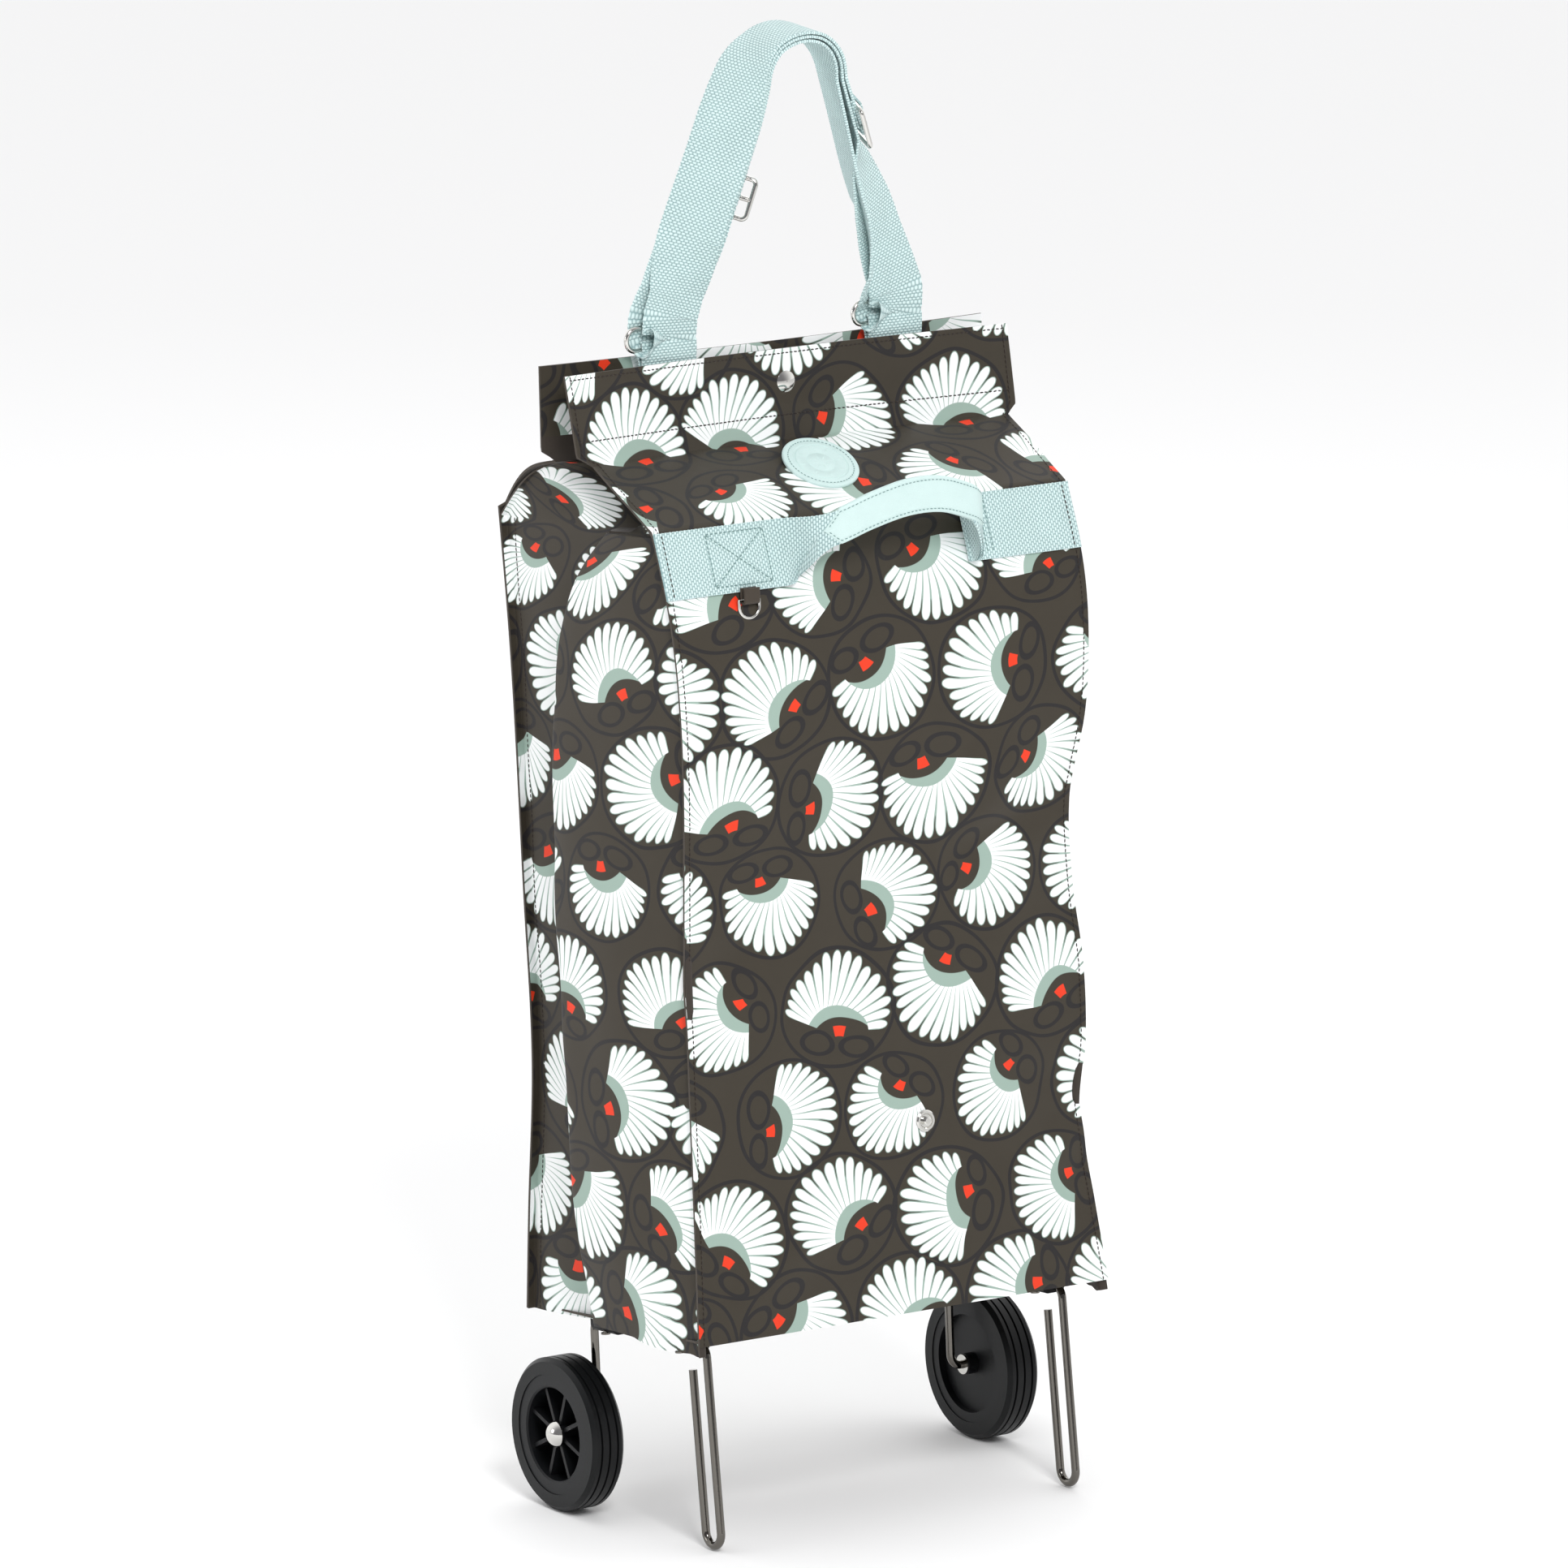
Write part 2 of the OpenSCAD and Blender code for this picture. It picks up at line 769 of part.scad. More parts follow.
module strap_webbing() {
    left_rings = [for (k = [0 : strap_steps]) strap_section(k / strap_steps, left_turn)];
    right_rings = [
        for (k = [strap_steps - 1 : -1 : 0])
            [for (p = strap_section(k / strap_steps, right_turn)) mirrored(p)]
    ];
    rings = concat(left_rings, right_rings);
    points = [for (r = rings) each r];
    last = len(rings) - 1;
    faces = [
        [0, 1, 2], [0, 2, 3],
        for (i = [0 : last - 1]) for (k = [0 : 3])
            let (a = 4 * i + k, b = 4 * i + (k + 1) % 4)
                each [[a, a + 4, b + 4], [a, b + 4, b]],
        [4 * last, 4 * last + 2, 4 * last + 1], [4 * last, 4 * last + 3, 4 * last + 2]
    ];
    color("paleturquoise") strap_frame() polyhedron(points, faces);
}

module strap_loop(side) {
    color("paleturquoise") strap_frame()
        translate([side * ring_x + ring_shift, 0, ring_h])
            difference() {
                x_bar(loop_r, ring_loop_w);
                x_bar(ring_wire_r + fit, strap_w + 2 * through);
            }
}

module strap_tab(side) {
    color("paleturquoise") stood()
        translate([side * ring_x, strap_y, ring_z])
            difference() {
                union() {
                    translate([ring_shift, 0, 0])
                        x_bar(loop_r - 0.2, ring_loop_w);
                    translate([-strap_w / 2, -1.2, tab_z - ring_z])
                        cube([strap_w, 2.4, ring_z - tab_z]);
                }
                x_bar(ring_wire_r + fit, 2 * ring_w);
                translate([ring_shift + ring_loop_w / 2, -loop_r, -loop_r])
                    cube([ring_w, 2 * loop_r, loop_r + through]);
            }
}

// A rectangle of round wire in the XZ plane, with its lower bar on the X axis.
module wire_rectangle(w, h, r, bend) {
    for (z = [0, h])
        translate([0, 0, z])
            x_bar(r, w - 2 * bend);
    for (side = [left, right]) {
        translate([side * w / 2, 0, bend])
            cylinder(r = r, h = h - 2 * bend);
        for (top = [0, 1])
            translate([side * (w / 2 - bend), 0, top ? h - bend : bend])
                rotate([90, 0, 0])
                    rotate([0, 0, side == right ? (top ? 0 : -90) : (top ? 90 : 180)])
                        rotate_extrude(angle = 90)
                            translate([bend, 0])
                                circle(r);
    }
}

module ring(side) {
    color("silver") strap_frame()
        translate([side * ring_x + ring_shift, 0, 0])
            wire_rectangle(ring_w, ring_h, ring_wire_r, ring_end_r);
}

// Angle of the webbing about its own middle line.
function strap_roll(t, turn) =
    let (w = strap_wide(t, turn), e = [cos(tangent_a), 0, -sin(tangent_a)])
        atan2(-w[1], w * e);

// A slider lies flat on the webbing at t, on the inner (1) or the outer (-1) face of it.
module slider(side, t, turn, face) {
    off = mix(strap_t_low, strap_t_top, t) / 2 + ring_wire_r + near;
    color("silver") strap_frame() on_side(side)
        translate(strap_at(t))
            rotate([0, tangent_a, 0])
                rotate([0, 0, -strap_roll(t, turn)])
                    translate([slider_shift, face * off, -slider_h / 2]) {
                        wire_rectangle(slider_w, slider_h, ring_wire_r, ring_bend);
                        translate([0, 0, slider_h / 2])
                            x_bar(ring_wire_r, slider_w);
                    }
}

module left_slider() { slider(left, left_slider_at, left_turn, 1); }
module right_slider() { slider(right, right_slider_at, right_turn, -1); }

// ---------------------------------------------------------------- nodes

module left_gusset() { gusset(left); }
module right_gusset() { gusset(right); }
module left_gusset_top() { gusset_top(left); }
module right_gusset_top() { gusset_top(right); }
module left_band() { band(left); }
module right_band() { band(right); }
module left_strap_tab() { strap_tab(left); }
module right_strap_tab() { strap_tab(right); }
module front_left_clip() { clip(left, -front_y, -1); }
module rear_left_clip() { clip(left, rear_y, 1); }
module front_right_clip() { clip(right, -front_y, -1); }
module rear_right_clip() { clip(right, rear_y, 1); }
module left_frame_wire() { frame_wire(left); }
module right_frame_wire() { frame_wire(right); }
module left_washer() { axle_washer(left); }
module right_washer() { axle_washer(right); }
module left_axle_cap() { axle_cap(left); }
module right_axle_cap() { axle_cap(right); }
module left_hub() { hub(left); }
module right_hub() { hub(right); }
module left_tyre() { tyre(left); }
module right_tyre() { tyre(right); }
module left_strap_loop() { strap_loop(left); }
module right_strap_loop() { strap_loop(right); }
module left_ring() { ring(left); }
module right_ring() { ring(right); }

base_board();
bottom_panel();
front_panel();
back_panel();
left_gusset();
right_gusset();
left_gusset_top();
right_gusset_top();
back_slope();
back_collar();
snap_stud();
left_band();
right_band();
grab_handle();
handle_grip();
d_ring_tab();
lower_snap();
left_strap_tab();
right_strap_tab();
front_left_clip();
rear_left_clip();
front_right_clip();
rear_right_clip();
clip_rivets();
front_slope();
front_collar();
badge();
snap_cap();
snap_socket();
left_frame_wire();
left_washer();
left_axle_cap();
left_hub();
left_tyre();
right_frame_wire();
right_washer();
right_axle_cap();
right_hub();
right_tyre();
strap_webbing();
left_strap_loop();
right_strap_loop();
left_ring();
right_ring();
left_slider();
right_slider();
d_ring();
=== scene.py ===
"""The looks of a folding fabric shopping trolley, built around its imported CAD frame.

Shapes are drawn in millimetres in the bag's own frame: origin at the centre of the base, +Z up
along the body, front towards -Y, left at -X. place() carries them into the row frame, in metres.
"""
import json
import math

import bmesh
import bpy
import numpy as np
from mathutils import Matrix, Vector


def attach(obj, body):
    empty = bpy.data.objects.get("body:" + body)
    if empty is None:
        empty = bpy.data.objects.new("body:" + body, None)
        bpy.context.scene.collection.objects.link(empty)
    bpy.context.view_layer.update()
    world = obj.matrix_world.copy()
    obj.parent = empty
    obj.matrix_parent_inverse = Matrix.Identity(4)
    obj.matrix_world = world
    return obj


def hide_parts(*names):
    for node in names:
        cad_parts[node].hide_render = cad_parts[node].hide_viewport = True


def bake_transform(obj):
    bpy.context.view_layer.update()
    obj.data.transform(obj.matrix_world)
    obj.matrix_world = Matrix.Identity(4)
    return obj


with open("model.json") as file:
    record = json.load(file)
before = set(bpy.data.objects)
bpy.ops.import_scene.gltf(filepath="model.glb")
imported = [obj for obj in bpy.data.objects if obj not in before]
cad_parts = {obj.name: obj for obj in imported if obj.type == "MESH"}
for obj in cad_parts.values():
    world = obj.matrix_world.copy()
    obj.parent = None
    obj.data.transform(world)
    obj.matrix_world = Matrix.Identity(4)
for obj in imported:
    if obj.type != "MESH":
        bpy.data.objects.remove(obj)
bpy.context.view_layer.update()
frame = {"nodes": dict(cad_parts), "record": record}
MM = 0.001
LEFT, RIGHT = -1, 1
NAME = {LEFT: "left", RIGHT: "right"}
rng = np.random.default_rng(7)

# ---------------------------------------------------------------- the bag's frame

floor_mount = frame["record"]["mounts"][0]
UP = Vector(floor_mount["axis"])
FLOOR_H = 0.005
ORIGIN = Vector(floor_mount["pos_m"]) - UP * FLOOR_H
LEAN = math.atan2(UP.y, UP.z)
COS, SIN = math.cos(LEAN), math.sin(LEAN)


def place(p):
    """Points in mm in the bag frame, as metres in the row frame."""
    p = np.asarray(p, float) * MM
    x, y, z = p[..., 0], p[..., 1], p[..., 2]
    return np.stack([x + ORIGIN.x, ORIGIN.y + y * COS + z * SIN, ORIGIN.z - y * SIN + z * COS], -1)


def smooth(t):
    t = np.clip(t, 0, 1)
    return t * t * (3 - 2 * t)


def mix(a, b, t):
    return a + (b - a) * t


def ramp(z, points):
    """A smooth curve through a few (place, value) points."""
    xs, vs = (np.array(c, float) for c in zip(*points))
    slopes = np.gradient(vs, xs)
    z = np.clip(z, xs[0], xs[-1])
    i = np.clip(np.searchsorted(xs, z) - 1, 0, len(xs) - 2)
    h = xs[i + 1] - xs[i]
    t = (z - xs[i]) / h
    return (
        (2 * t**3 - 3 * t**2 + 1) * vs[i]
        + (t**3 - 2 * t**2 + t) * h * slopes[i]
        + (3 * t**2 - 2 * t**3) * vs[i + 1]
        + (t**3 - t**2) * h * slopes[i + 1]
    )


def bump(t, centre, width):
    return np.exp(-(((t - centre) / width) ** 2))


def waves(a, b, seed, scale):
    """Soft irregular waves of about unit height over two coordinates, in mm."""
    draw = np.random.default_rng(seed)
    total = np.zeros(np.broadcast(a, b).shape)
    for k in range(7):
        angle, phase = draw.uniform(0, math.tau, 2)
        length = scale * draw.uniform(0.6, 1.7)
        run = (a * math.cos(angle) + b * math.sin(angle)) / length * math.tau
        total += np.sin(run + phase + 0.8 * np.sin(run * 0.37 + phase)) / (1 + 0.25 * k)
    return total / 3


def crease(a, b, start, end, width, depth):
    """A fold along a segment, that fades out towards both of its ends."""
    (a0, b0), (a1, b1) = start, end
    run = np.array([a1 - a0, b1 - b0], float)
    length = np.hypot(*run)
    t = ((a - a0) * run[0] + (b - b0) * run[1]) / length**2
    off = ((a - a0) * -run[1] + (b - b0) * run[0]) / length
    return depth * np.exp(-((off / width) ** 2)) * np.sin(np.clip(t, 0, 1) * math.pi) ** 0.7


# ---------------------------------------------------------------- sizes, in mm, as in the part's source

BAG_W, BASE_D = 292, 179
FRONT_H, REAR_H = 478, 480
FRONT_SHOULDER, REAR_SHOULDER = 75, 83
COLLAR_FOOT, COLLAR_H, COLLAR_W = 512, 53, 308
REAR_RISE = 4        # how far the rear collar stands above the front one
GABLE_Y = 3
CLOTH, GUSSET_CLOTH = 1.6, 1.2
FLANGE = 4.5         # how far a gusset's sewn edge reaches in from the bag's corner
SEW_IN = 3.6         # from a panel's side edge to its stitches
WEB_T, WEB_W = 1.6, 38
front_depth = [(0, 89.5), (220, 83.5), (440, 87), (FRONT_H, FRONT_SHOULDER)]
rear_depth = [(0, 89.5), (220, 83.5), (REAR_H, REAR_SHOULDER)]

# ---------------------------------------------------------------- materials


class Nodes:
    """A short way to write a node tree: n.add(a, b), n.node("ShaderNodeTexNoise", Scale=4)."""

    def __init__(self, tree):
        self.tree = tree

    def put(self, socket, value):
        if isinstance(value, bpy.types.NodeSocket):
            self.tree.links.new(value, socket)
        elif value is not None:
            socket.default_value = value

    def node(self, kind, attrs=None, **inputs):
        made = self.tree.nodes.new(kind)
        for key, value in (attrs or {}).items():
            setattr(made, key, value)
        for key, value in inputs.items():
            self.put(made.inputs[key.replace("_", " ")], value)
        return made

    def op(self, operation, a, b=None, c=None, clamp=False):
        made = self.tree.nodes.new("ShaderNodeMath")
        made.operation, made.use_clamp = operation, clamp
        for socket, value in zip(made.inputs, (a, b, c)):
            self.put(socket, value)
        return made.outputs[0]

    def add(self, a, b):
        return self.op("ADD", a, b)

    def sub(self, a, b):
        return self.op("SUBTRACT", a, b)

    def mul(self, a, b):
        return self.op("MULTIPLY", a, b)

    def mad(self, a, b, c):
        """a times b, plus c."""
        return self.op("MULTIPLY_ADD", a, b, c)

    def vec(self, operation, a, b=None, scale=None):
        made = self.tree.nodes.new("ShaderNodeVectorMath")
        made.operation = operation
        self.put(made.inputs[0], a)
        self.put(made.inputs[1], b)
        if scale is not None:
            self.put(made.inputs["Scale"], scale)
        return made.outputs["Value"] if operation in ("LENGTH", "DOT_PRODUCT") else made.outputs[0]

    def split(self, v):
        made = self.node("ShaderNodeSeparateXYZ", Vector=v)
        return made.outputs[0], made.outputs[1], made.outputs[2]

    def join(self, x, y, z=0.0):
        return self.node("ShaderNodeCombineXYZ", X=x, Y=y, Z=z).outputs[0]

    def blend(self, fac, a, b):
        made = self.node("ShaderNodeMix", {"data_type": "RGBA"})
        for socket, value in ((made.inputs[0], fac), (made.inputs[6], a), (made.inputs[7], b)):
            self.put(socket, value)
        return made.outputs[2]

    def step(self, value, low, high):
        """0 below low, 1 above high, smooth in between; low may be above high."""
        made = self.node("ShaderNodeMapRange", {"interpolation_type": "SMOOTHSTEP"}, Value=value)
        flip = low > high
        self.put(made.inputs["From Min"], min(low, high))
        self.put(made.inputs["From Max"], max(low, high))
        self.put(made.inputs["To Min"], 1.0 if flip else 0.0)
        self.put(made.inputs["To Max"], 0.0 if flip else 1.0)
        return made.outputs[0]

    def noise(self, where, scale, detail=3.0, rough=0.5):
        made = self.node("ShaderNodeTexNoise", Vector=where, Scale=scale, Detail=detail, Roughness=rough)
        return made.outputs[0]


def rgb(r, g, b):
    """A colour given as 0 to 255 on a screen, as linear light."""
    def lin(c):
        c /= 255
        return c / 12.92 if c <= 0.04045 else ((c + 0.055) / 1.055) ** 2.4

    return (lin(r), lin(g), lin(b), 1.0)


def new_material(name, **constants):
    """A Principled material with its constant numbers on the sockets."""
    made = bpy.data.materials.new(name)
    made.use_nodes = True
    shader = made.node_tree.nodes["Principled BSDF"]
    for key, value in constants.items():
        shader.inputs[key.replace("_", " ")].default_value = value
    return made, Nodes(made.node_tree), shader


def bumped(n, shader, height, strength, distance):
    made = n.node("ShaderNodeBump", Height=height)
    made.inputs["Strength"].default_value = strength
    made.inputs["Distance"].default_value = distance
    n.tree.links.new(made.outputs[0], shader.inputs["Normal"])


GROUND, LINE = rgb(56, 50, 40), rgb(31, 29, 31)
PETAL, LEAF, MARK = rgb(244, 246, 246), rgb(154, 176, 165), rgb(232, 58, 24)
HALF_GREY = (0.5, 0.5, 0.5)
MASKS = ("Petal", "Leaf", "Mark", "Line")
ROW_PITCH, COL_PITCH = 63.0, 71.0
STRETCH = 1.08
PRINT_THREAD = 0.62  # pitch of the printed cloth's threads, in mm
RIB, PICK = 2.8, 1.65  # a knuckle of the webbing, across and along, in mm
# One blossom, measured in mm from the point its petals spread from.
PETALS = 16
FAN_START, FAN_END = math.radians(-97), math.radians(55)
FAN_AT, FAN_R = (-2.5, 15.5), 31.7
BUD_AT, BUD_R = (7.6, 1.6), 18.7
HOLLOW_AT, HOLLOW_R = (15.3, -4.4), 20.9
MARK_TURN = math.radians(-36)


def blossom_group():
    """One printed blossom about its own centre: a fan of petals, a crescent, a mark and a scroll.

    In: the point from the middle of the blossom in mm, and its cell's two numbers.
    Out: the four masks petal, leaf, mark and line.
    """
    group = bpy.data.node_groups.new("blossom", "ShaderNodeTree")
    for name in ("Point", "Cell"):
        group.interface.new_socket(name=name, in_out="INPUT", socket_type="NodeSocketVector")
    for name in MASKS:
        group.interface.new_socket(name=name, in_out="OUTPUT", socket_type="NodeSocketFloat")
    n = Nodes(group)
    given = n.node("NodeGroupInput")
    draw = n.node("ShaderNodeTexWhiteNoise", {"noise_dimensions": "2D"}, Vector=given.outputs["Cell"])
    r1, r2, r3 = n.split(draw.outputs["Color"])
    shift = n.join(n.mad(r1, 7.0, -3.5), n.mad(r2, 7.0, -3.5))
    at = n.vec("SUBTRACT", given.outputs["Point"], shift)
    turned = n.node("ShaderNodeVectorRotate", {"rotation_type": "Z_AXIS"}, Vector=at)
    n.put(turned.inputs["Angle"], n.mul(r3, math.tau))
    grow = n.mad(n.op("FRACT", n.mul(r1, 7.3)), 0.14, 0.94)
    p = n.vec("ADD", n.vec("SCALE", turned.outputs[0], scale=grow), (*FAN_AT, 0.0))
    x, y, _ = n.split(p)
    radius = n.op("MAXIMUM", n.vec("LENGTH", p), 0.01)
    angle = n.op("ARCTAN2", x, y)
    pitch = (FAN_END - FAN_START) / PETALS
    slot = n.op("DIVIDE", n.sub(angle, FAN_START), pitch)
    index = n.op("FLOOR", slot)
    middle = n.mad(n.add(index, 0.5), pitch, FAN_START)
    off = n.sub(angle, middle)
    wobble = n.node("ShaderNodeTexWhiteNoise", {"noise_dimensions": "2D"},
                    Vector=n.join(index, n.mul(r1, 97.0))).outputs["Value"]
    sin_m, cos_m = n.op("SINE", middle), n.op("COSINE", middle)
    ahead = n.mad(sin_m, FAN_AT[0], n.mul(cos_m, FAN_AT[1]))
    aside = n.sub(n.mul(cos_m, FAN_AT[0]), n.mul(sin_m, FAN_AT[1]))
    reach = n.add(ahead, n.op("SQRT", n.sub(FAN_R**2, n.mul(aside, aside))))
    reach = n.add(reach, n.mad(wobble, 2.6, -1.6))
    inside = n.mul(n.op("GREATER_THAN", slot, 0.0), n.op("LESS_THAN", slot, float(PETALS)))
    side = n.mul(radius, n.op("SINE", n.op("ABSOLUTE", off)))

    def from_point(at):
        return n.vec("LENGTH", n.vec("SUBTRACT", p, (*at, 0.0)))

    def petal(grow):
        """Inside of one petal: a narrow wedge that ends in a rounded tip."""
        wide = n.mad(radius, 0.055, 0.3 + grow)
        over = n.op("MAXIMUM", n.sub(radius, n.sub(reach, 5.6)), 0.0)
        tip = n.op("POWER", n.op("DIVIDE", over, 5.6 + grow), 2.0)
        across = n.op("POWER", n.op("DIVIDE", side, wide), 2.0)
        return n.mul(n.step(n.add(tip, across), 1.1, 0.9), inside)

    from_bud = from_point(BUD_AT)
    base = n.step(from_bud, BUD_R - 0.2, BUD_R + 0.3)
    white = n.mul(petal(0.0), base)
    rim = n.mul(petal(0.5), base)
    between = n.step(n.sub(reach, radius), 10.0, 12.0)
    web = n.mul(between, n.mul(inside, base))
    beyond = n.step(from_point(HOLLOW_AT), HOLLOW_R - 0.2, HOLLOW_R + 0.3)
    crescent = n.mul(n.mul(n.step(from_bud, BUD_R + 0.5, BUD_R), beyond), inside)
    leaf = n.op("MAXIMUM", n.op("MAXIMUM", rim, web), crescent)
    mx, my, _ = n.split(n.vec("SUBTRACT", p, (*HOLLOW_AT, 0.0)))
    mark_a = n.op("ABSOLUTE", n.sub(n.op("ARCTAN2", mx, my), MARK_TURN))
    mark_r = from_point(HOLLOW_AT)
    mark = n.mul(n.step(mark_r, 9.6, 10.0), n.step(mark_r, 16.0, 15.6))
    mark = n.mul(mark, n.step(mark_a, 0.265, 0.235))

    def loop(centre, tilt, long_r, short_r):
        """An outlined oval."""
        local = n.node("ShaderNodeVectorRotate", {"rotation_type": "Z_AXIS"},
                       Vector=n.vec("SUBTRACT", p, centre), Angle=tilt).outputs[0]
        sized = n.vec("MULTIPLY", local, (1 / long_r, 1 / short_r, 0.0))
        away = n.op("ABSOLUTE", n.sub(n.vec("LENGTH", sized), 1.0))
        return n.step(n.mul(away, short_r), 1.3, 0.8)

    line = n.step(n.op("ABSOLUTE", n.sub(from_point(FAN_AT), 34.2)), 1.25, 0.8)
    line = n.op("MAXIMUM", line, loop((0.0, -7.0, 0.0), -0.35, 9.4, 6.0))
    line = n.op("MAXIMUM", line, loop((21.0, 4.0, 0.0), -0.6, 9.0, 5.4))
    out = n.node("NodeGroupOutput")
    for name, value in zip(MASKS, (white, leaf, mark, line)):
        n.put(out.inputs[name], value)
    return group


def printed_fabric(name, shift):
    """Coated cotton with the scattered blossom print. The UVs are metres along the cloth."""
    made, n, shader = new_material(name, Sheen_Weight=0.03, Sheen_Roughness=0.5, Specular_IOR_Level=0.3)
    uv = n.node("ShaderNodeTexCoord").outputs["UV"]
    on_cloth = n.vec("MULTIPLY", uv, (1000.0 / STRETCH, 1000.0, 0.0))
    on_cloth = n.vec("ADD", on_cloth, (shift[0], shift[1], 0.0))
    drift = n.node("ShaderNodeTexNoise", {"noise_dimensions": "2D"}, Vector=on_cloth, Scale=0.02, Detail=1.0)
    drift = n.vec("SUBTRACT", drift.outputs["Color"], HALF_GREY)
    on_cloth = n.vec("ADD", on_cloth, n.vec("SCALE", drift, scale=7.0))
    x, y, _ = n.split(on_cloth)
    row = n.op("FLOOR", n.op("DIVIDE", y, ROW_PITCH))
    masks = None
    for dr in (0.0, 1.0):
        this_row = n.add(row, dr)
        stagger = n.mul(n.op("FLOORED_MODULO", this_row, 2.0), COL_PITCH / 2)
        along = n.op("DIVIDE", n.sub(x, stagger), COL_PITCH)
        col = n.op("FLOOR", along)
        for dc in (0.0, 1.0):
            this_col = n.add(col, dc)
            cx = n.mad(this_col, COL_PITCH, stagger)
            cy = n.mul(this_row, ROW_PITCH)
            one = n.node("ShaderNodeGroup", {"node_tree": bpy.data.node_groups["blossom"]})
            n.put(one.inputs["Point"], n.join(n.sub(x, cx), n.sub(y, cy)))
            n.put(one.inputs["Cell"], n.join(this_col, this_row))
            found = [one.outputs[k] for k in MASKS]
            masks = found if masks is None else [n.op("MAXIMUM", a, b) for a, b in zip(masks, found)]
    petal, leaf, mark, line = masks
    weave = n.mul(*(n.op("SINE", n.mul(c, math.tau / PRINT_THREAD)) for c in (x, y)))
    cloudy = n.noise(on_cloth, 0.045, 4.0)
    grain = n.noise(on_cloth, 1.6, 2.0)
    shade = n.mad(cloudy, 0.16, n.mad(grain, 0.2, 0.82))
    ground = n.blend(n.mul(line, 0.92), GROUND, LINE)
    ground = n.vec("SCALE", ground, scale=shade)
    colour = n.blend(leaf, ground, LEAF)
    colour = n.blend(petal, colour, PETAL)
    colour = n.blend(mark, colour, MARK)
    colour = n.vec("SCALE", colour, scale=n.mad(weave, 0.035, 0.985))
    n.put(shader.inputs["Base Color"], colour)
    n.put(shader.inputs["Roughness"], n.mad(grain, 0.2, 0.44))
    bumped(n, shader, n.add(weave, n.mul(grain, 2.0)), 0.16, 0.0003)
    return made


def plain_fabric(name, colour, thread):
    """Plain woven cloth: lining, tabs and hems."""
    made, n, shader = new_material(name, Sheen_Weight=0.15, Specular_IOR_Level=0.3)
    where = n.vec("SCALE", n.node("ShaderNodeTexCoord").outputs["Object"], scale=1000.0)
    x, y, z = n.split(where)
    across = n.op("SINE", n.mul(n.add(x, y), math.tau / thread))
    up = n.op("SINE", n.mul(z, math.tau / thread))
    weave = n.mul(across, up)
    grain = n.noise(where, 0.9, 3.0)
    dark = tuple(0.72 * c for c in colour[:3]) + (1.0,)
    mixed = n.blend(n.mad(weave, 0.25, n.mul(grain, 0.9)), dark, colour)
    n.put(shader.inputs["Base Color"], mixed)
    n.put(shader.inputs["Roughness"], n.mad(grain, 0.2, 0.6))
    bumped(n, shader, weave, 0.25, 0.0003)
    return made


def webbing_material():
    """Coarse cotton webbing: rows of knuckles, each row shifted by half, with painted shade in the gaps
    between the knuckles. The UVs are metres.
    """
    made, n, shader = new_material("webbing", Sheen_Weight=0.2, Specular_IOR_Level=0.3)
    uv = n.vec("SCALE", n.node("ShaderNodeTexCoord").outputs["UV"], scale=1000.0)
    fray = n.node("ShaderNodeTexNoise", Vector=uv, Scale=0.35, Detail=2.0).outputs["Color"]
    uv = n.vec("ADD", uv, n.vec("SCALE", n.vec("SUBTRACT", fray, HALF_GREY), scale=0.5))
    x, y, _ = n.split(uv)
    row = n.op("FLOOR", n.op("DIVIDE", y, PICK))
    half = n.mul(n.op("FLOORED_MODULO", row, 2.0), 0.5)
    u = n.op("FRACT", n.add(n.op("DIVIDE", x, RIB), half))
    v = n.op("FRACT", n.op("DIVIDE", y, PICK))
    wide = n.op("POWER", n.op("SINE", n.mul(u, math.pi)), 0.7)
    tall = n.op("POWER", n.op("SINE", n.mul(v, math.pi)), 0.6)
    knuckle = n.mul(wide, tall)
    strands = n.op("SINE", n.mul(n.add(x, n.mul(y, 0.6)), math.tau / 0.4))
    grain = n.noise(uv, 1.2, 3.0)
    cloudy = n.noise(uv, 0.05, 2.0)
    # painted shade: the knuckles' crowns are lighter and the gaps between them darker, standing in for light
    # and shade on the weave's relief; the grain adds random tone
    level = n.op("MULTIPLY", knuckle, n.mad(grain, 0.6, 0.85), clamp=True)
    colour = n.blend(level, rgb(130, 165, 167), rgb(222, 243, 242))
    shade = n.mad(cloudy, 0.16, n.mad(strands, 0.03, 0.9))
    n.put(shader.inputs["Base Color"], n.vec("SCALE", colour, scale=shade))
    n.put(shader.inputs["Roughness"], n.mad(grain, 0.2, 0.68))
    height = n.add(knuckle, n.mad(strands, 0.06, n.mul(grain, 0.3)))
    bumped(n, shader, height, 0.9, 0.0006)
    return made


def leather_material():
    """Smooth coated leather with a fine grain and slightly darker pores."""
    made, n, shader = new_material("leather", Coat_Weight=0.12, Coat_Roughness=0.35, Specular_IOR_Level=0.45)
    where = n.node("ShaderNodeTexCoord").outputs["Object"]
    pores = n.node("ShaderNodeTexVoronoi", {"feature": "DISTANCE_TO_EDGE"}, Vector=where, Scale=1500.0)
    cloudy = n.noise(where, 60.0, 4.0)
    cracks = n.step(pores.outputs["Distance"], 0.0, 0.18)
    colour = n.blend(n.mad(cloudy, 0.8, 0.1), rgb(194, 218, 215), rgb(208, 230, 227))
    colour = n.vec("SCALE", colour, scale=n.mad(cracks, 0.05, 0.95))
    n.put(shader.inputs["Base Color"], colour)
    n.put(shader.inputs["Roughness"], n.mad(cloudy, 0.2, 0.36))
    bumped(n, shader, cracks, 0.25, 0.0002)
    return made


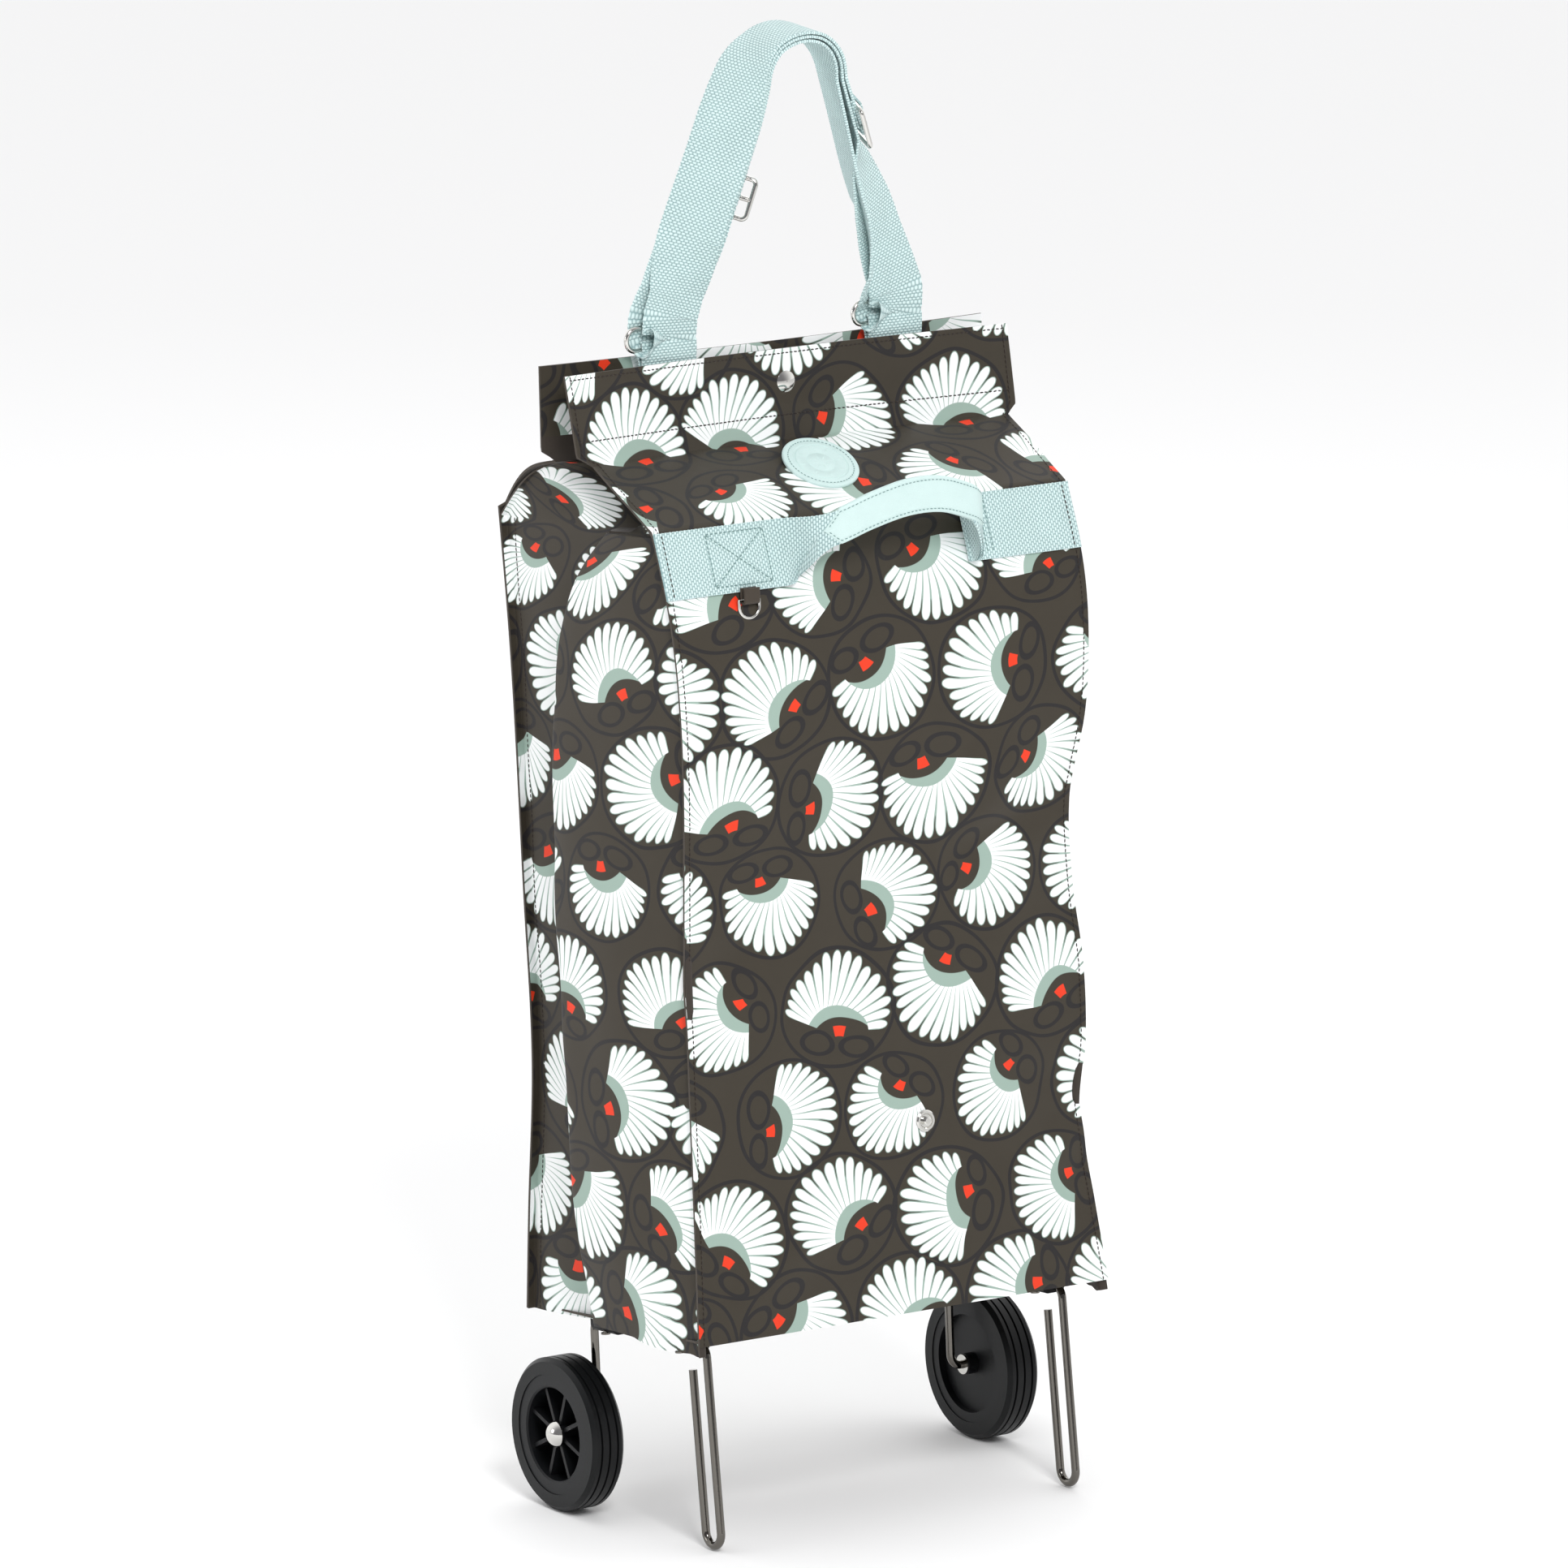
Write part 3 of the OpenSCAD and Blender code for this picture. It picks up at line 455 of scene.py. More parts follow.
def metal_material(name, colour, rough, cloud_scale=300.0):
    """Plated metal with fine polishing marks and a cloudy gloss."""
    made, n, shader = new_material(name, Metallic=1.0)
    where = n.node("ShaderNodeTexCoord").outputs["Object"]
    cloudy = n.noise(where, cloud_scale, 3.0)
    marks = n.noise(n.vec("MULTIPLY", where, (1.0, 1.0, 9.0)), 900.0, 2.0)
    dull = tuple(0.88 * c for c in colour[:3]) + (1.0,)
    n.put(shader.inputs["Base Color"], n.blend(cloudy, dull, colour))
    n.put(shader.inputs["Roughness"], n.mad(cloudy, rough, rough * 0.5))
    bumped(n, shader, marks, 0.03, 0.0001)
    return made


def moulded_material(name, colour, rough, scale):
    """Moulded plastic or rubber: a fine spark texture and a few paler scuffs."""
    made, n, shader = new_material(name, Specular_IOR_Level=0.22)
    where = n.node("ShaderNodeTexCoord").outputs["Object"]
    spark = n.noise(where, scale, 2.0, 0.7)
    scuffs = n.step(n.noise(where, 55.0, 5.0, 0.7), 0.6, 0.78)
    worn = tuple(min(1.0, c * 1.6 + 0.003) for c in colour[:3]) + (1.0,)
    n.put(shader.inputs["Base Color"], n.blend(n.mul(scuffs, 0.5), colour, worn))
    gloss = n.mad(spark, 0.12, rough)
    n.put(shader.inputs["Roughness"], n.mad(scuffs, 0.15, gloss))
    bumped(n, shader, spark, 0.12, 0.0002)
    return made


blossom_group()
PRINT = {
    "front": printed_fabric("print_front", (0.0, 0.0)),
    "back": printed_fabric("print_back", (1500.0, 700.0)),
    "left": printed_fabric("print_left", (-2100.0, 300.0)),
    "right": printed_fabric("print_right", (900.0, -1300.0)),
}
LINING = plain_fabric("lining", rgb(58, 50, 43), 0.7)
TRIM_CLOTH = plain_fabric("trim_cloth", rgb(66, 57, 47), 0.6)
THREAD = plain_fabric("thread", rgb(46, 36, 29), 0.4)
PALE_THREAD = plain_fabric("pale_thread", rgb(128, 160, 158), 0.4)
WEBBING = webbing_material()
LEATHER = leather_material()
NICKEL = metal_material("nickel", (0.66, 0.65, 0.62, 1.0), 0.08)
WIRE = metal_material("black_nickel", (0.16, 0.15, 0.135, 1.0), 0.06)
CLIP = moulded_material("clip_plastic", (0.006, 0.006, 0.007, 1.0), 0.38, 900.0)
HUB = moulded_material("hub_plastic", (0.0065, 0.007, 0.008, 1.0), 0.36, 1100.0)
TYRE = moulded_material("tyre_rubber", (0.0045, 0.005, 0.0055, 1.0), 0.34, 500.0)
BOARD = plain_fabric("base_board_cover", rgb(52, 47, 42), 0.9)

# ---------------------------------------------------------------- mesh tools


def add_object(name, verts, faces, materials, material_of=None, uv=None, sharp=0.7):
    """An object in the row frame from vertices in metres. uv holds one pair for each vertex."""
    mesh = bpy.data.meshes.new(name)
    mesh.from_pydata([tuple(v) for v in verts], [], [tuple(f) for f in faces])
    for m in materials:
        mesh.materials.append(m)
    if material_of is not None:
        mesh.polygons.foreach_set("material_index", material_of)
    if uv is not None:
        layer = mesh.uv_layers.new(name="cloth")
        corner = np.zeros(len(mesh.loops), np.int32)
        mesh.loops.foreach_get("vertex_index", corner)
        layer.data.foreach_set("uv", np.asarray(uv, np.float32)[corner].ravel())
    mesh.polygons.foreach_set("use_smooth", [True] * len(mesh.polygons))
    mesh.set_sharp_from_angle(angle=sharp)
    mesh.validate()
    mesh.update()
    made = bpy.data.objects.new(name, mesh)
    bpy.context.scene.collection.objects.link(made)
    return made


def face_outward(made, join=False):
    """Turns every face outward; join first merges the points that coincide."""
    edit = bmesh.new()
    edit.from_mesh(made.data)
    if join:
        bmesh.ops.remove_doubles(edit, verts=edit.verts, dist=1e-6)
    bmesh.ops.recalc_face_normals(edit, faces=edit.faces)
    edit.to_mesh(made.data)
    edit.free()


def unit(v):
    return v / np.linalg.norm(v, axis=-1, keepdims=True)


def directions(line):
    """Unit direction of a line at each of its points."""
    return unit(np.gradient(line, axis=0))


def evenly(at, run, line):
    """A line with a value at each distance in run, read at the distances in at."""
    return np.stack([np.interp(at, run, line[:, k]) for k in range(line.shape[1])], -1)


def line_lengths(line):
    """Distance along a line at each of its points."""
    return arc_lengths(line[:, None], 0)[:, 0]


def grid_normals(points):
    """Outward normals of a sheet of points."""
    along = np.gradient(points, axis=1)
    up = np.gradient(points, axis=0)
    n = np.cross(along, up)
    return n / np.maximum(np.linalg.norm(n, axis=-1, keepdims=True), 1e-9)


def arc_lengths(points, axis):
    """Length along one axis of a grid of points, from its first row or column."""
    steps = np.linalg.norm(np.diff(points, axis=axis), axis=-1)
    zero = np.zeros_like(np.take(steps, [0], axis=axis))
    return np.concatenate([zero, np.cumsum(steps, axis=axis)], axis=axis)


def cloth(name, points, materials, thickness, uv=None, to_world=place, outward=1, facing=0):
    """A closed sheet: points (rows, columns, 3) in mm are its outer face, thickened inwards.

    The inner side of the last rows, as many as facing, wears the outer material.
    """
    rows, cols = points.shape[:2]
    inner = points - outward * grid_normals(points) * thickness
    verts = np.concatenate([points.reshape(-1, 3), inner.reshape(-1, 3)])
    ids = np.arange(rows * cols).reshape(rows, cols)
    a, b, c, d = ids[:-1, :-1], ids[:-1, 1:], ids[1:, 1:], ids[1:, :-1]
    outer_faces = np.stack([a, b, c, d], -1).reshape(-1, 4)
    low = rows * cols
    inner_faces = outer_faces[:, ::-1] + low
    rims = []
    for edge in (ids[0, ::-1], ids[-1, :], ids[:, 0], ids[::-1, -1]):
        rims.append(np.stack([edge[:-1], edge[1:], edge[1:] + low, edge[:-1] + low], -1))
    rims = np.concatenate(rims)
    faces = np.concatenate([outer_faces, inner_faces, rims])
    if outward < 0:
        faces = faces[:, ::-1]
    inside = np.ones((rows - 1, cols - 1))
    if facing:
        inside[-facing:] = 0
    which = np.concatenate([np.zeros(len(outer_faces)), inside.ravel(), np.full(len(rims), 2)])
    which = np.minimum(which, len(materials) - 1).astype(np.int32)
    if uv is not None:
        uv = np.concatenate([uv.reshape(-1, 2), uv.reshape(-1, 2)])
    return add_object(name, to_world(verts), faces, materials, which, uv)


def lathe(name, profile, materials, axis_at, axis_dir, steps=96):
    """A turned solid. profile is an outline of (radius, height) in mm; height runs along axis_dir."""
    profile = np.array(profile, float)
    count = len(profile)
    angle = np.arange(steps) * math.tau / steps
    direction = Vector(axis_dir).normalized()
    turn = np.array(direction.to_track_quat("Z", "Y").to_matrix())
    ring = np.stack([np.cos(angle), np.sin(angle)], -1)
    verts = np.concatenate([
        profile[None, :, :1] * ring[:, None, :],
        np.broadcast_to(profile[None, :, 1:], (steps, count, 1)),
    ], -1).reshape(-1, 3) * MM
    verts = verts @ turn.T + np.array(axis_at)
    faces = []
    for s in range(steps):
        t = (s + 1) % steps
        for k in range(count):
            m = (k + 1) % count
            quad = [s * count + k, t * count + k, t * count + m, s * count + m]
            if profile[k, 0] < 1e-6 and profile[m, 0] < 1e-6:
                continue
            faces.append(quad)
    made = add_object(name, verts, faces, materials)
    face_outward(made, join=True)
    made.data.set_sharp_from_angle(angle=0.6)
    return made


def resample(path, pitch):
    """Points at even steps of about pitch along a polyline, half a step in from its ends."""
    steps = np.linalg.norm(np.diff(path, axis=0), axis=1)
    run = np.concatenate([[0], np.cumsum(steps)])
    count = max(2, int(run[-1] / pitch))
    at = (np.arange(count) + 0.5) * run[-1] / count
    return evenly(at, run, path)


def stitch_template():
    """One stitch of unit size: a small spindle that lies along x."""
    rings, sides = 4, 6
    verts = []
    for i in range(rings + 1):
        t = math.pi * i / rings
        for k in range(sides):
            a = math.tau * k / sides
            verts.append((-math.cos(t), math.sin(t) * math.cos(a), math.sin(t) * math.sin(a)))
    faces = []
    for i in range(rings):
        for k in range(sides):
            m = (k + 1) % sides
            faces.append((i * sides + k, i * sides + m, (i + 1) * sides + m, (i + 1) * sides + k))
    return np.array(verts), np.array(faces)


STITCH_VERTS, STITCH_FACES = stitch_template()


def stitches(name, lines, material, pitch=3.0, length=2.4, radius=0.42, lift=0.12, to_world=place):
    """Rows of sewn stitches. Each line is (points, normals) in mm on the cloth's surface."""
    all_verts, all_faces, count = [], [], 0
    for points, normals in lines:
        both = resample(np.concatenate([points, normals], 1), pitch)
        p, n = both[:, :3], both[:, 3:]
        along = directions(p)
        n = unit(n - along * np.sum(n * along, 1, keepdims=True))
        across = np.cross(n, along)
        skew = rng.normal(0, 0.09, len(p))[:, None]
        along = along + across * skew
        size = (length * rng.uniform(0.88, 1.08, len(p)) / 2)[:, None, None]
        verts = (
            (p + n * lift)[:, None, :]
            + STITCH_VERTS[None, :, 0:1] * size * along[:, None, :]
            + STITCH_VERTS[None, :, 1:2] * radius * across[:, None, :]
            + STITCH_VERTS[None, :, 2:3] * radius * 0.8 * n[:, None, :]
        )
        all_verts.append(verts.reshape(-1, 3))
        faces = STITCH_FACES[None] + (np.arange(len(p)) * len(STITCH_VERTS))[:, None, None]
        all_faces.append(faces.reshape(-1, 4) + count)
        count += len(p) * len(STITCH_VERTS)
    made = add_object(name, to_world(np.concatenate(all_verts)), np.concatenate(all_faces), [material])
    return made


# ---------------------------------------------------------------- the bag's shape

PINCH_RIGHT = [(0, 0), (48, 7), (103, 14), (145, 7), (190, 6), (240, 12), (294, 15), (340, 5), (385, 1),
               (440, -1), (FRONT_H, 0)]
PINCH_LEFT = [(0, 0), (110, 3), (270, 5), (400, 1), (FRONT_H, 0)]
PINCH_REAR = [(0, -4), (60, -1), (140, 4), (250, 2), (420, -1), (REAR_H, -4)]


def front_y(z):
    return -ramp(z, front_depth)


def rear_y(z):
    return ramp(z, rear_depth)


def corner(side, z, rear=False):
    """x of a vertical edge of the bag."""
    if rear:
        pinch = ramp(z, PINCH_REAR)
    else:
        pinch = ramp(z, PINCH_LEFT if side == LEFT else PINCH_RIGHT) * (1 if side == LEFT else 0.62)
    return side * (BAG_W / 2 - pinch)


def front_relief(x, z):
    """How far the front stands proud of its plain profile, in mm."""
    inner = smooth((BAG_W / 2 - np.abs(x)) / 45) * smooth(z / 60) * smooth((432 - z) / 50)
    soft = 1.7 * waves(x, z, 11, 190) + 0.5 * waves(x, z, 12, 70)
    folds = (
        crease(x, z, (146, 300), (40, 262), 12, -4)
        + crease(x, z, (150, 286), (60, 330), 14, 3)
        + crease(x, z, (150, 112), (50, 140), 13, -4)
        + crease(x, z, (150, 96), (70, 60), 12, 3)
        + crease(x, z, (-150, 200), (-60, 250), 16, -3)
        + crease(x, z, (-120, 20), (-40, 70), 16, 3)
    )
    return inner * soft + smooth((432 - z) / 40) * smooth(z / 25) * folds


def front_sheet(x, z):
    """Points of the front panel at x across and z up."""
    pull_back = ramp(z, PINCH_RIGHT) * 0.5 * smooth((x - 70) / 76)
    return np.stack([x, front_y(z) - front_relief(x, z) + pull_back, z], -1)


def half_gap(u, v):
    """Half of the gap between the collars, as in the part's source."""
    middle = mix(14, 4.8, np.minimum(1, v / 0.4))
    return mix(middle, mix(37, 24, v), np.abs(u) ** 1.6) / 2


def upper_rows(u_cols, front):
    """Rows of the slope, from the shoulder to the collar's foot, and of the collar above it."""
    way = -1 if front else 1
    shoulder_y = -FRONT_SHOULDER if front else REAR_SHOULDER
    shoulder_z = FRONT_H if front else REAR_H
    rise = 0 if front else REAR_RISE
    side_swell = 0 if front else 1
    half = BAG_W / 2
    rows = []
    for v in np.linspace(0, 1, 24)[1:]:
        swell = np.sin(v * math.pi)
        x = u_cols * (mix(half, half + 0.8, v) + side_swell * 3.0 * swell)
        y = mix(shoulder_y, GABLE_Y + way * (half_gap(u_cols, 0) + 2), v)
        bulge = 3.4 * (1 - np.abs(u_cols) ** 4) + side_swell * 8.0 * np.abs(u_cols) ** 4
        z = mix(shoulder_z, COLLAR_FOOT, v) + bulge * swell
        dip = 1.1 * waves(x, y * 1.5, 21 if front else 22, 75) * swell
        rows.append(np.stack([x, y, z + dip], -1))
    for v in np.linspace(0, 1, 20)[1:]:
        flare = smooth(v / 0.12)
        x = u_cols * np.where(u_cols < 0, mix(half + 2, COLLAR_W / 2 + 3 + 3 * v, flare),
                              mix(half + 1, COLLAR_W / 2 - 1, flare))
        sway = 0.7 * waves(x, v * 50.0, 31 if front else 32, 90) * v
        y = GABLE_Y + way * (half_gap(u_cols, v) + 2) + sway
        rows.append(np.stack([x, y, COLLAR_FOOT + v * COLLAR_H + rise * v + 0 * x], -1))
    return np.array(rows)


COLS = np.concatenate([[-1, -0.985], np.linspace(-0.968, 0.968, 97), [0.985, 1]])


def panel(front):
    """Front or back: one sheet from the base over the shoulder to the collar's top."""
    top = FRONT_H if front else REAR_H
    heights = np.concatenate([np.linspace(0, top - 9, 150), np.linspace(top - 6, top, 4)])
    rows = []
    for z in heights:
        zz = np.full(COLS.shape, z)
        left, right = corner(LEFT, zz, not front), corner(RIGHT, zz, not front)
        x = mix(left, right, (COLS + 1) / 2)
        if front:
            rows.append(front_sheet(x, zz))
        else:
            calm = smooth((BAG_W / 2 - np.abs(x)) / 45) * smooth(z / 60) * smooth((465 - z) / 60)
            relief = calm * (2.2 * waves(x, zz, 41, 170) + 0.6 * waves(x, zz, 42, 60))
            rows.append(np.stack([x, rear_y(zz) + relief, zz], -1))
    points = np.concatenate([np.array(rows), upper_rows(COLS, front)])
    return points if front else points[:, ::-1]


def cloth_uv(points):
    """Metres along the cloth, measured up the middle column and across each row."""
    rows, cols = points.shape[:2]
    across = arc_lengths(points, 1)
    middle = across[:, cols // 2][:, None]
    up = arc_lengths(points, 0)[:, cols // 2][:, None]
    up = np.broadcast_to(up, (rows, cols))
    return np.stack([across - middle, up], -1) * MM


def bend_with_flap(piece):
    """Bakes the piece's transform into its mesh."""
    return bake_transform(piece)


def bend_front(piece):
    """Bakes the front's transform into its mesh."""
    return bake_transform(piece)


FACING = 14  # rows at the top of a collar whose inner side wears the print


def bag_panel(front):
    """The front or back sheet, with its points and normals."""
    name = "front" if front else "back"
    points = panel(front)
    looks = [PRINT[name], LINING, TRIM_CLOTH]
    made = cloth(f"bag_{name}", points, looks, CLOTH, cloth_uv(points), facing=FACING)
    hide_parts(f"{name}_panel", f"{name}_slope", f"{name}_collar")
    return made, points, grid_normals(points)


bag_front, front_points, front_normals = bag_panel(True)
bend_front(bag_front)
bag_back, back_points, back_normals = bag_panel(False)
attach(bag_back, "root")


def inset_line(points, normals, column, amount):
    """A line parallel to a sheet's side edge, amount mm in from it."""
    step = 1 if column == 0 else -1
    edge, inner = points[:, column], points[:, column + step * 6]
    t = amount / np.linalg.norm(inner - edge, axis=1, keepdims=True)
    n = mix(normals[:, column + step * 2], normals[:, column + step * 4], 0.5)
    return edge + (inner - edge) * t, n


def height_line(points, normals, z, low_col, high_col):
    """A line across a sheet at height z."""
    heights = points[:, points.shape[1] // 2, 2]
    i = int(np.argmin(np.abs(heights - z)))
    return points[i, low_col:high_col], normals[i, low_col:high_col]


HEM, BAND = 2.8, 40  # rows of stitches, measured down from a collar's top


def panel_stitches(name, points, normals, front):
    lines = [inset_line(points, normals, 0, SEW_IN), inset_line(points, normals, -1, SEW_IN)]
    top = COLLAR_FOOT + COLLAR_H + (0 if front else REAR_RISE)
    lines += [height_line(points, normals, top - down, 1, -1) for down in (HEM, BAND)]
    return stitches(name, lines, THREAD)


front_seams = panel_stitches("front_stitches", front_points, front_normals, True)
bend_front(front_seams)
back_seams = panel_stitches("back_stitches", back_points, back_normals, False)
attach(back_seams, "root")

# ---------------------------------------------------------------- gussets


def bezier(a, b, c, d, count):
    """count points of a cubic curve from a to d, pulled by b and c."""
    t = np.linspace(0, 1, count)[:, None]
    return a * (1 - t) ** 3 + 3 * b * t * (1 - t) ** 2 + 3 * c * t * t * (1 - t) + d * t**3


FOLD_Y = [(0, 12), (60, 15), (200, 21), (330, 17), (420, 4), (455, -14), (FRONT_H, -34)]
FOLD_OUT = [(0, 6), (60, 12), (200, 15), (330, 15), (420, 12), (455, 8), (FRONT_H, 1)]
FOLD_R = 1.7         # radius of each turn of the fold
TUCK = (9, 26)       # how far the fold is tucked in, and back
WALL_ROWS = 130
KNEE_COL = 38        # the column of the fold's outer edge


def gusset_row(side, z):
    """One level of a gusset in plan, from its front flange to its rear flange, drawn for the left."""
    zz = np.array([float(z)])
    ax = abs(corner(side, zz)[0])
    rx = abs(corner(side, zz, True)[0])
    back = ramp(zz, PINCH_RIGHT)[0] * 0.5 if side == RIGHT else 0
    ay = front_y(zz)[0] + CLOTH + 0.15 + back
    ry = rear_y(zz)[0] - CLOTH - 0.15
    out = ramp(zz, FOLD_OUT)[0]
    fy = ramp(zz, FOLD_Y)[0] + 1.2 * math.sin(z / 31.0) + 0.8 * math.sin(z / 13.0 + 1)
    half = BAG_W / 2
    fx = half + out + 0.6 * math.sin(z / 44.0)
    start = np.array([ax - FLANGE, ay])
    fold = np.array([fx, fy])
    tuck = np.array([half - TUCK[0] - 2 * FOLD_R, fy - TUCK[1]])
    end = np.array([rx - FLANGE, ry])
    flange = np.array([[ax - 0.3, ay], [ax - 2.2, ay], [ax - FLANGE + 1.0, ay],
                       [ax - FLANGE + 0.2, ay + 0.25]])
    front_leaf = bezier(start + [0, 0.8], start + [0.55 * (fx - start[0]) + 2, 0.30 * (fy - ay)],
                        fold + [0.5, -0.42 * (fy - ay)], fold, 34)
    a = np.linspace(0, math.pi, 7)[1:-1]
    bend_x, bend_y = FOLD_R * (np.cos(a) - 1), FOLD_R * np.sin(a)
    bend = fold + np.stack([bend_x, bend_y], -1)
    under_start = fold + [-2 * FOLD_R, 0]
    under = bezier(under_start, under_start + [-1.2, -8], tuck + [1.0, 10], tuck, 12)
    inner_bend = tuck + np.stack([bend_x, -bend_y], -1)
    rear_start = tuck + [-2 * FOLD_R, 0]
    rear_leaf = bezier(rear_start, rear_start + [1.0, 14], end + [3.5, -0.5 * (end[1] - fy)],
                       end + [0, -0.8], 40)
    rear_flange = np.array([[rx - FLANGE + 0.2, ry - 0.25], [rx - FLANGE + 1.0, ry], [rx - 2.2, ry],
                            [rx - 0.3, ry]])
    plan = np.concatenate([flange, front_leaf, bend, under, inner_bend, rear_leaf, rear_flange])
    return np.concatenate([plan, np.full((len(plan), 1), float(z))], 1)


def gusset_points(side):
    """A gusset from the base to its inward fold under the gable's end."""
    wall = np.array([gusset_row(side, z) for z in np.linspace(0.6, FRONT_H - 4, WALL_ROWS)])
    last = wall[-1]
    # the fold's top edge runs from the front slope's end, inwards, and out to the rear slope's end
    half = BAG_W / 2
    gap = half_gap(np.array([1.0]), 0.0)[0]
    front_end = np.array([half - FLANGE + 1, GABLE_Y - gap - 2.0, COLLAR_FOOT - 1.5])
    rear_end = np.array([half - FLANGE + 1, GABLE_Y + gap + 2.0, COLLAR_FOOT - 1.5])
    inner = np.array([half - 58, GABLE_Y, COLLAR_FOOT - 9])
    run = arc_lengths(last[:, :2][None], 1)[0]
    share = run / run[-1]
    knee = share[KNEE_COL]
    first = np.clip(share / knee, 0, 1)[:, None]
    second = np.clip((share - knee) / (1 - knee), 0, 1)[:, None]
    edge = np.where(second > 0, inner + (rear_end - inner) * second,
                    front_end + (inner - front_end) * first)
    fore = smooth((0.8 * knee - share) / (0.8 * knee))[:, None]
    aft = smooth((share - knee) / (1 - knee))[:, None]
    hollow = np.exp(-(((share - knee) / 0.2) ** 2))[:, None]
    front_foot, rear_foot = last[0], last[-1]
    rows = []
    for v in np.linspace(0, 1, 26)[1:]:
        p = mix(last, edge, v)
        swell = math.sin(v * math.pi)
        rear_edge = mix(rear_foot, rear_end, v) + np.array([2.0, 0, 7.0]) * swell
        p = p + aft * (rear_edge - p[-1]) + fore * (mix(front_foot, front_end, v) - p[0])
        rows.append(p - hollow * swell * np.array([13.0, 0, 9.0]))
    points = np.concatenate([wall, np.array(rows)])
    # soft waves, strongest at mid height, none along the seams
    free = np.sin(np.clip(share, 0, 1) * math.pi)[None, :] ** 0.8
    y, z = points[..., 1].copy(), points[..., 2].copy()
    low = smooth(z / 50) * smooth((500 - z) / 60)
    relief = waves(y, z, 51 if side == LEFT else 52, 120) * 2.2
    relief += waves(y, z, 53 if side == LEFT else 54, 46) * 0.7
    points[..., 0] += free * low * relief
    # the lower hem drops a little, most at the front
    ahead = smooth((-10 - y) / 50)
    points[..., 2] -= (1.0 + 5.0 * ahead) * smooth(1 - z / 40) * (1 + 0.25 * waves(y, z, 55, 14))
    points[..., 0] *= side
    return points


def make_gusset(side):
    key = NAME[side]
    name = f"gusset_{key}"
    points = gusset_points(side)
    if side == LEFT:
        points = points[:, ::-1]
    normals = grid_normals(points)
    made = cloth(name, points, [PRINT[key], LINING, TRIM_CLOTH], GUSSET_CLOTH, cloth_uv(points))
    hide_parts(f"{key}_gusset", f"{key}_gusset_top")
    bend_with_flap(made)
    # stitches beside the rear flange
    col = 6 if side == LEFT else points.shape[1] - 7
    seam = stitches(f"{name}_stitches", [(points[:WALL_ROWS, col], normals[:WALL_ROWS, col])], THREAD)
    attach(seam, "root")


for side in (LEFT, RIGHT):
    make_gusset(side)

# ---------------------------------------------------------------- base


def bag_base():
    """The cloth under the base board, with a soft downward roll at its edges."""
    cols, rows = np.linspace(-1, 1, 61), np.linspace(-1, 1, 41)
    u, v = np.meshgrid(cols, rows)
    x, y = u * (BAG_W / 2 - 1.2), v * (BASE_D / 2 - 2.2)
    edge = np.maximum(np.abs(u) ** 14, np.abs(v) ** 10)
    z = 0.3 + 1.4 * edge - 0.5 * (1 - edge) + 0.35 * waves(x, y, 61, 60)
    return np.stack([x, y, z], -1)


base_points = bag_base()[::-1]
bag_bottom = cloth("bag_bottom", base_points, [TRIM_CLOTH, LINING, TRIM_CLOTH], GUSSET_CLOTH,
                   cloth_uv(base_points))
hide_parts("bottom_panel")
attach(bag_bottom, "root")

# ---------------------------------------------------------------- webbing tools


SCALLOP = 0.22       # depth of the small waves along a woven edge
FLAT = np.linspace(-0.95, 0.95, 10)
STRIP_OUTLINE = np.array(
    [(-1, 0.0), (-0.985, 0.42)] + [(u, 0.5) for u in FLAT]
    + [(0.985, 0.42), (1, 0.0), (0.985, -0.42)] + [(-u, -0.5) for u in FLAT] + [(-0.985, -0.42)]
)


def strip(name, centre, across, width, thickness, to_world, material=WEBBING, scallop=SCALLOP):
    """A woven strip along a centre line, with its width direction at each point, in mm."""
    normal = np.cross(across, directions(centre))
    run = line_lengths(centre)
    edge = width / 2 + scallop * np.sin(run * math.tau / 2.7)
    outline = STRIP_OUTLINE
    rows, count = len(run), len(outline)
    points = (
        centre[:, None]
        + across[:, None] * (outline[None, :, 0:1] * edge[:, None, None])
        + normal[:, None] * (outline[None, :, 1:2] * thickness)
    )
    uv = np.stack([
        np.broadcast_to(outline[None, :, 0], (rows, count)) * width / 2,
        np.broadcast_to(run[:, None], (rows, count)),
    ], -1) * MM
    ids = np.arange(rows * count).reshape(rows, count)
    nxt = np.roll(ids, -1, axis=1)
    faces = np.stack([ids[:-1], nxt[:-1], nxt[1:], ids[1:]], -1).reshape(-1, 4).tolist()
    faces += [ids[0][::-1].tolist(), ids[-1].tolist()]
    made = add_object(name, to_world(points.reshape(-1, 3)), faces, [material], None,
                      uv.reshape(-1, 2), 1.0)
    face_outward(made)
    return made


# ---------------------------------------------------------------- band and grab handle

BAND_TOP = FRONT_H - 0.8
LOOP = [(-64, 0), (-57, 6), (-49, 20), (-34, 31), (-10, 36), (16, 37.5), (40, 37), (57, 33), (66, 22),
        (68, 9), (66, 0)]
HUMP = [(0, 0), (0.2, 4), (0.35, 13), (0.5, 18.5), (0.62, 18), (0.75, 11), (0.87, 2), (1, 0)]
FOLD_GAP = 1.1


def surface_y(x, z):
    return front_sheet(np.asarray(x, float), np.asarray(z, float))[..., 1]


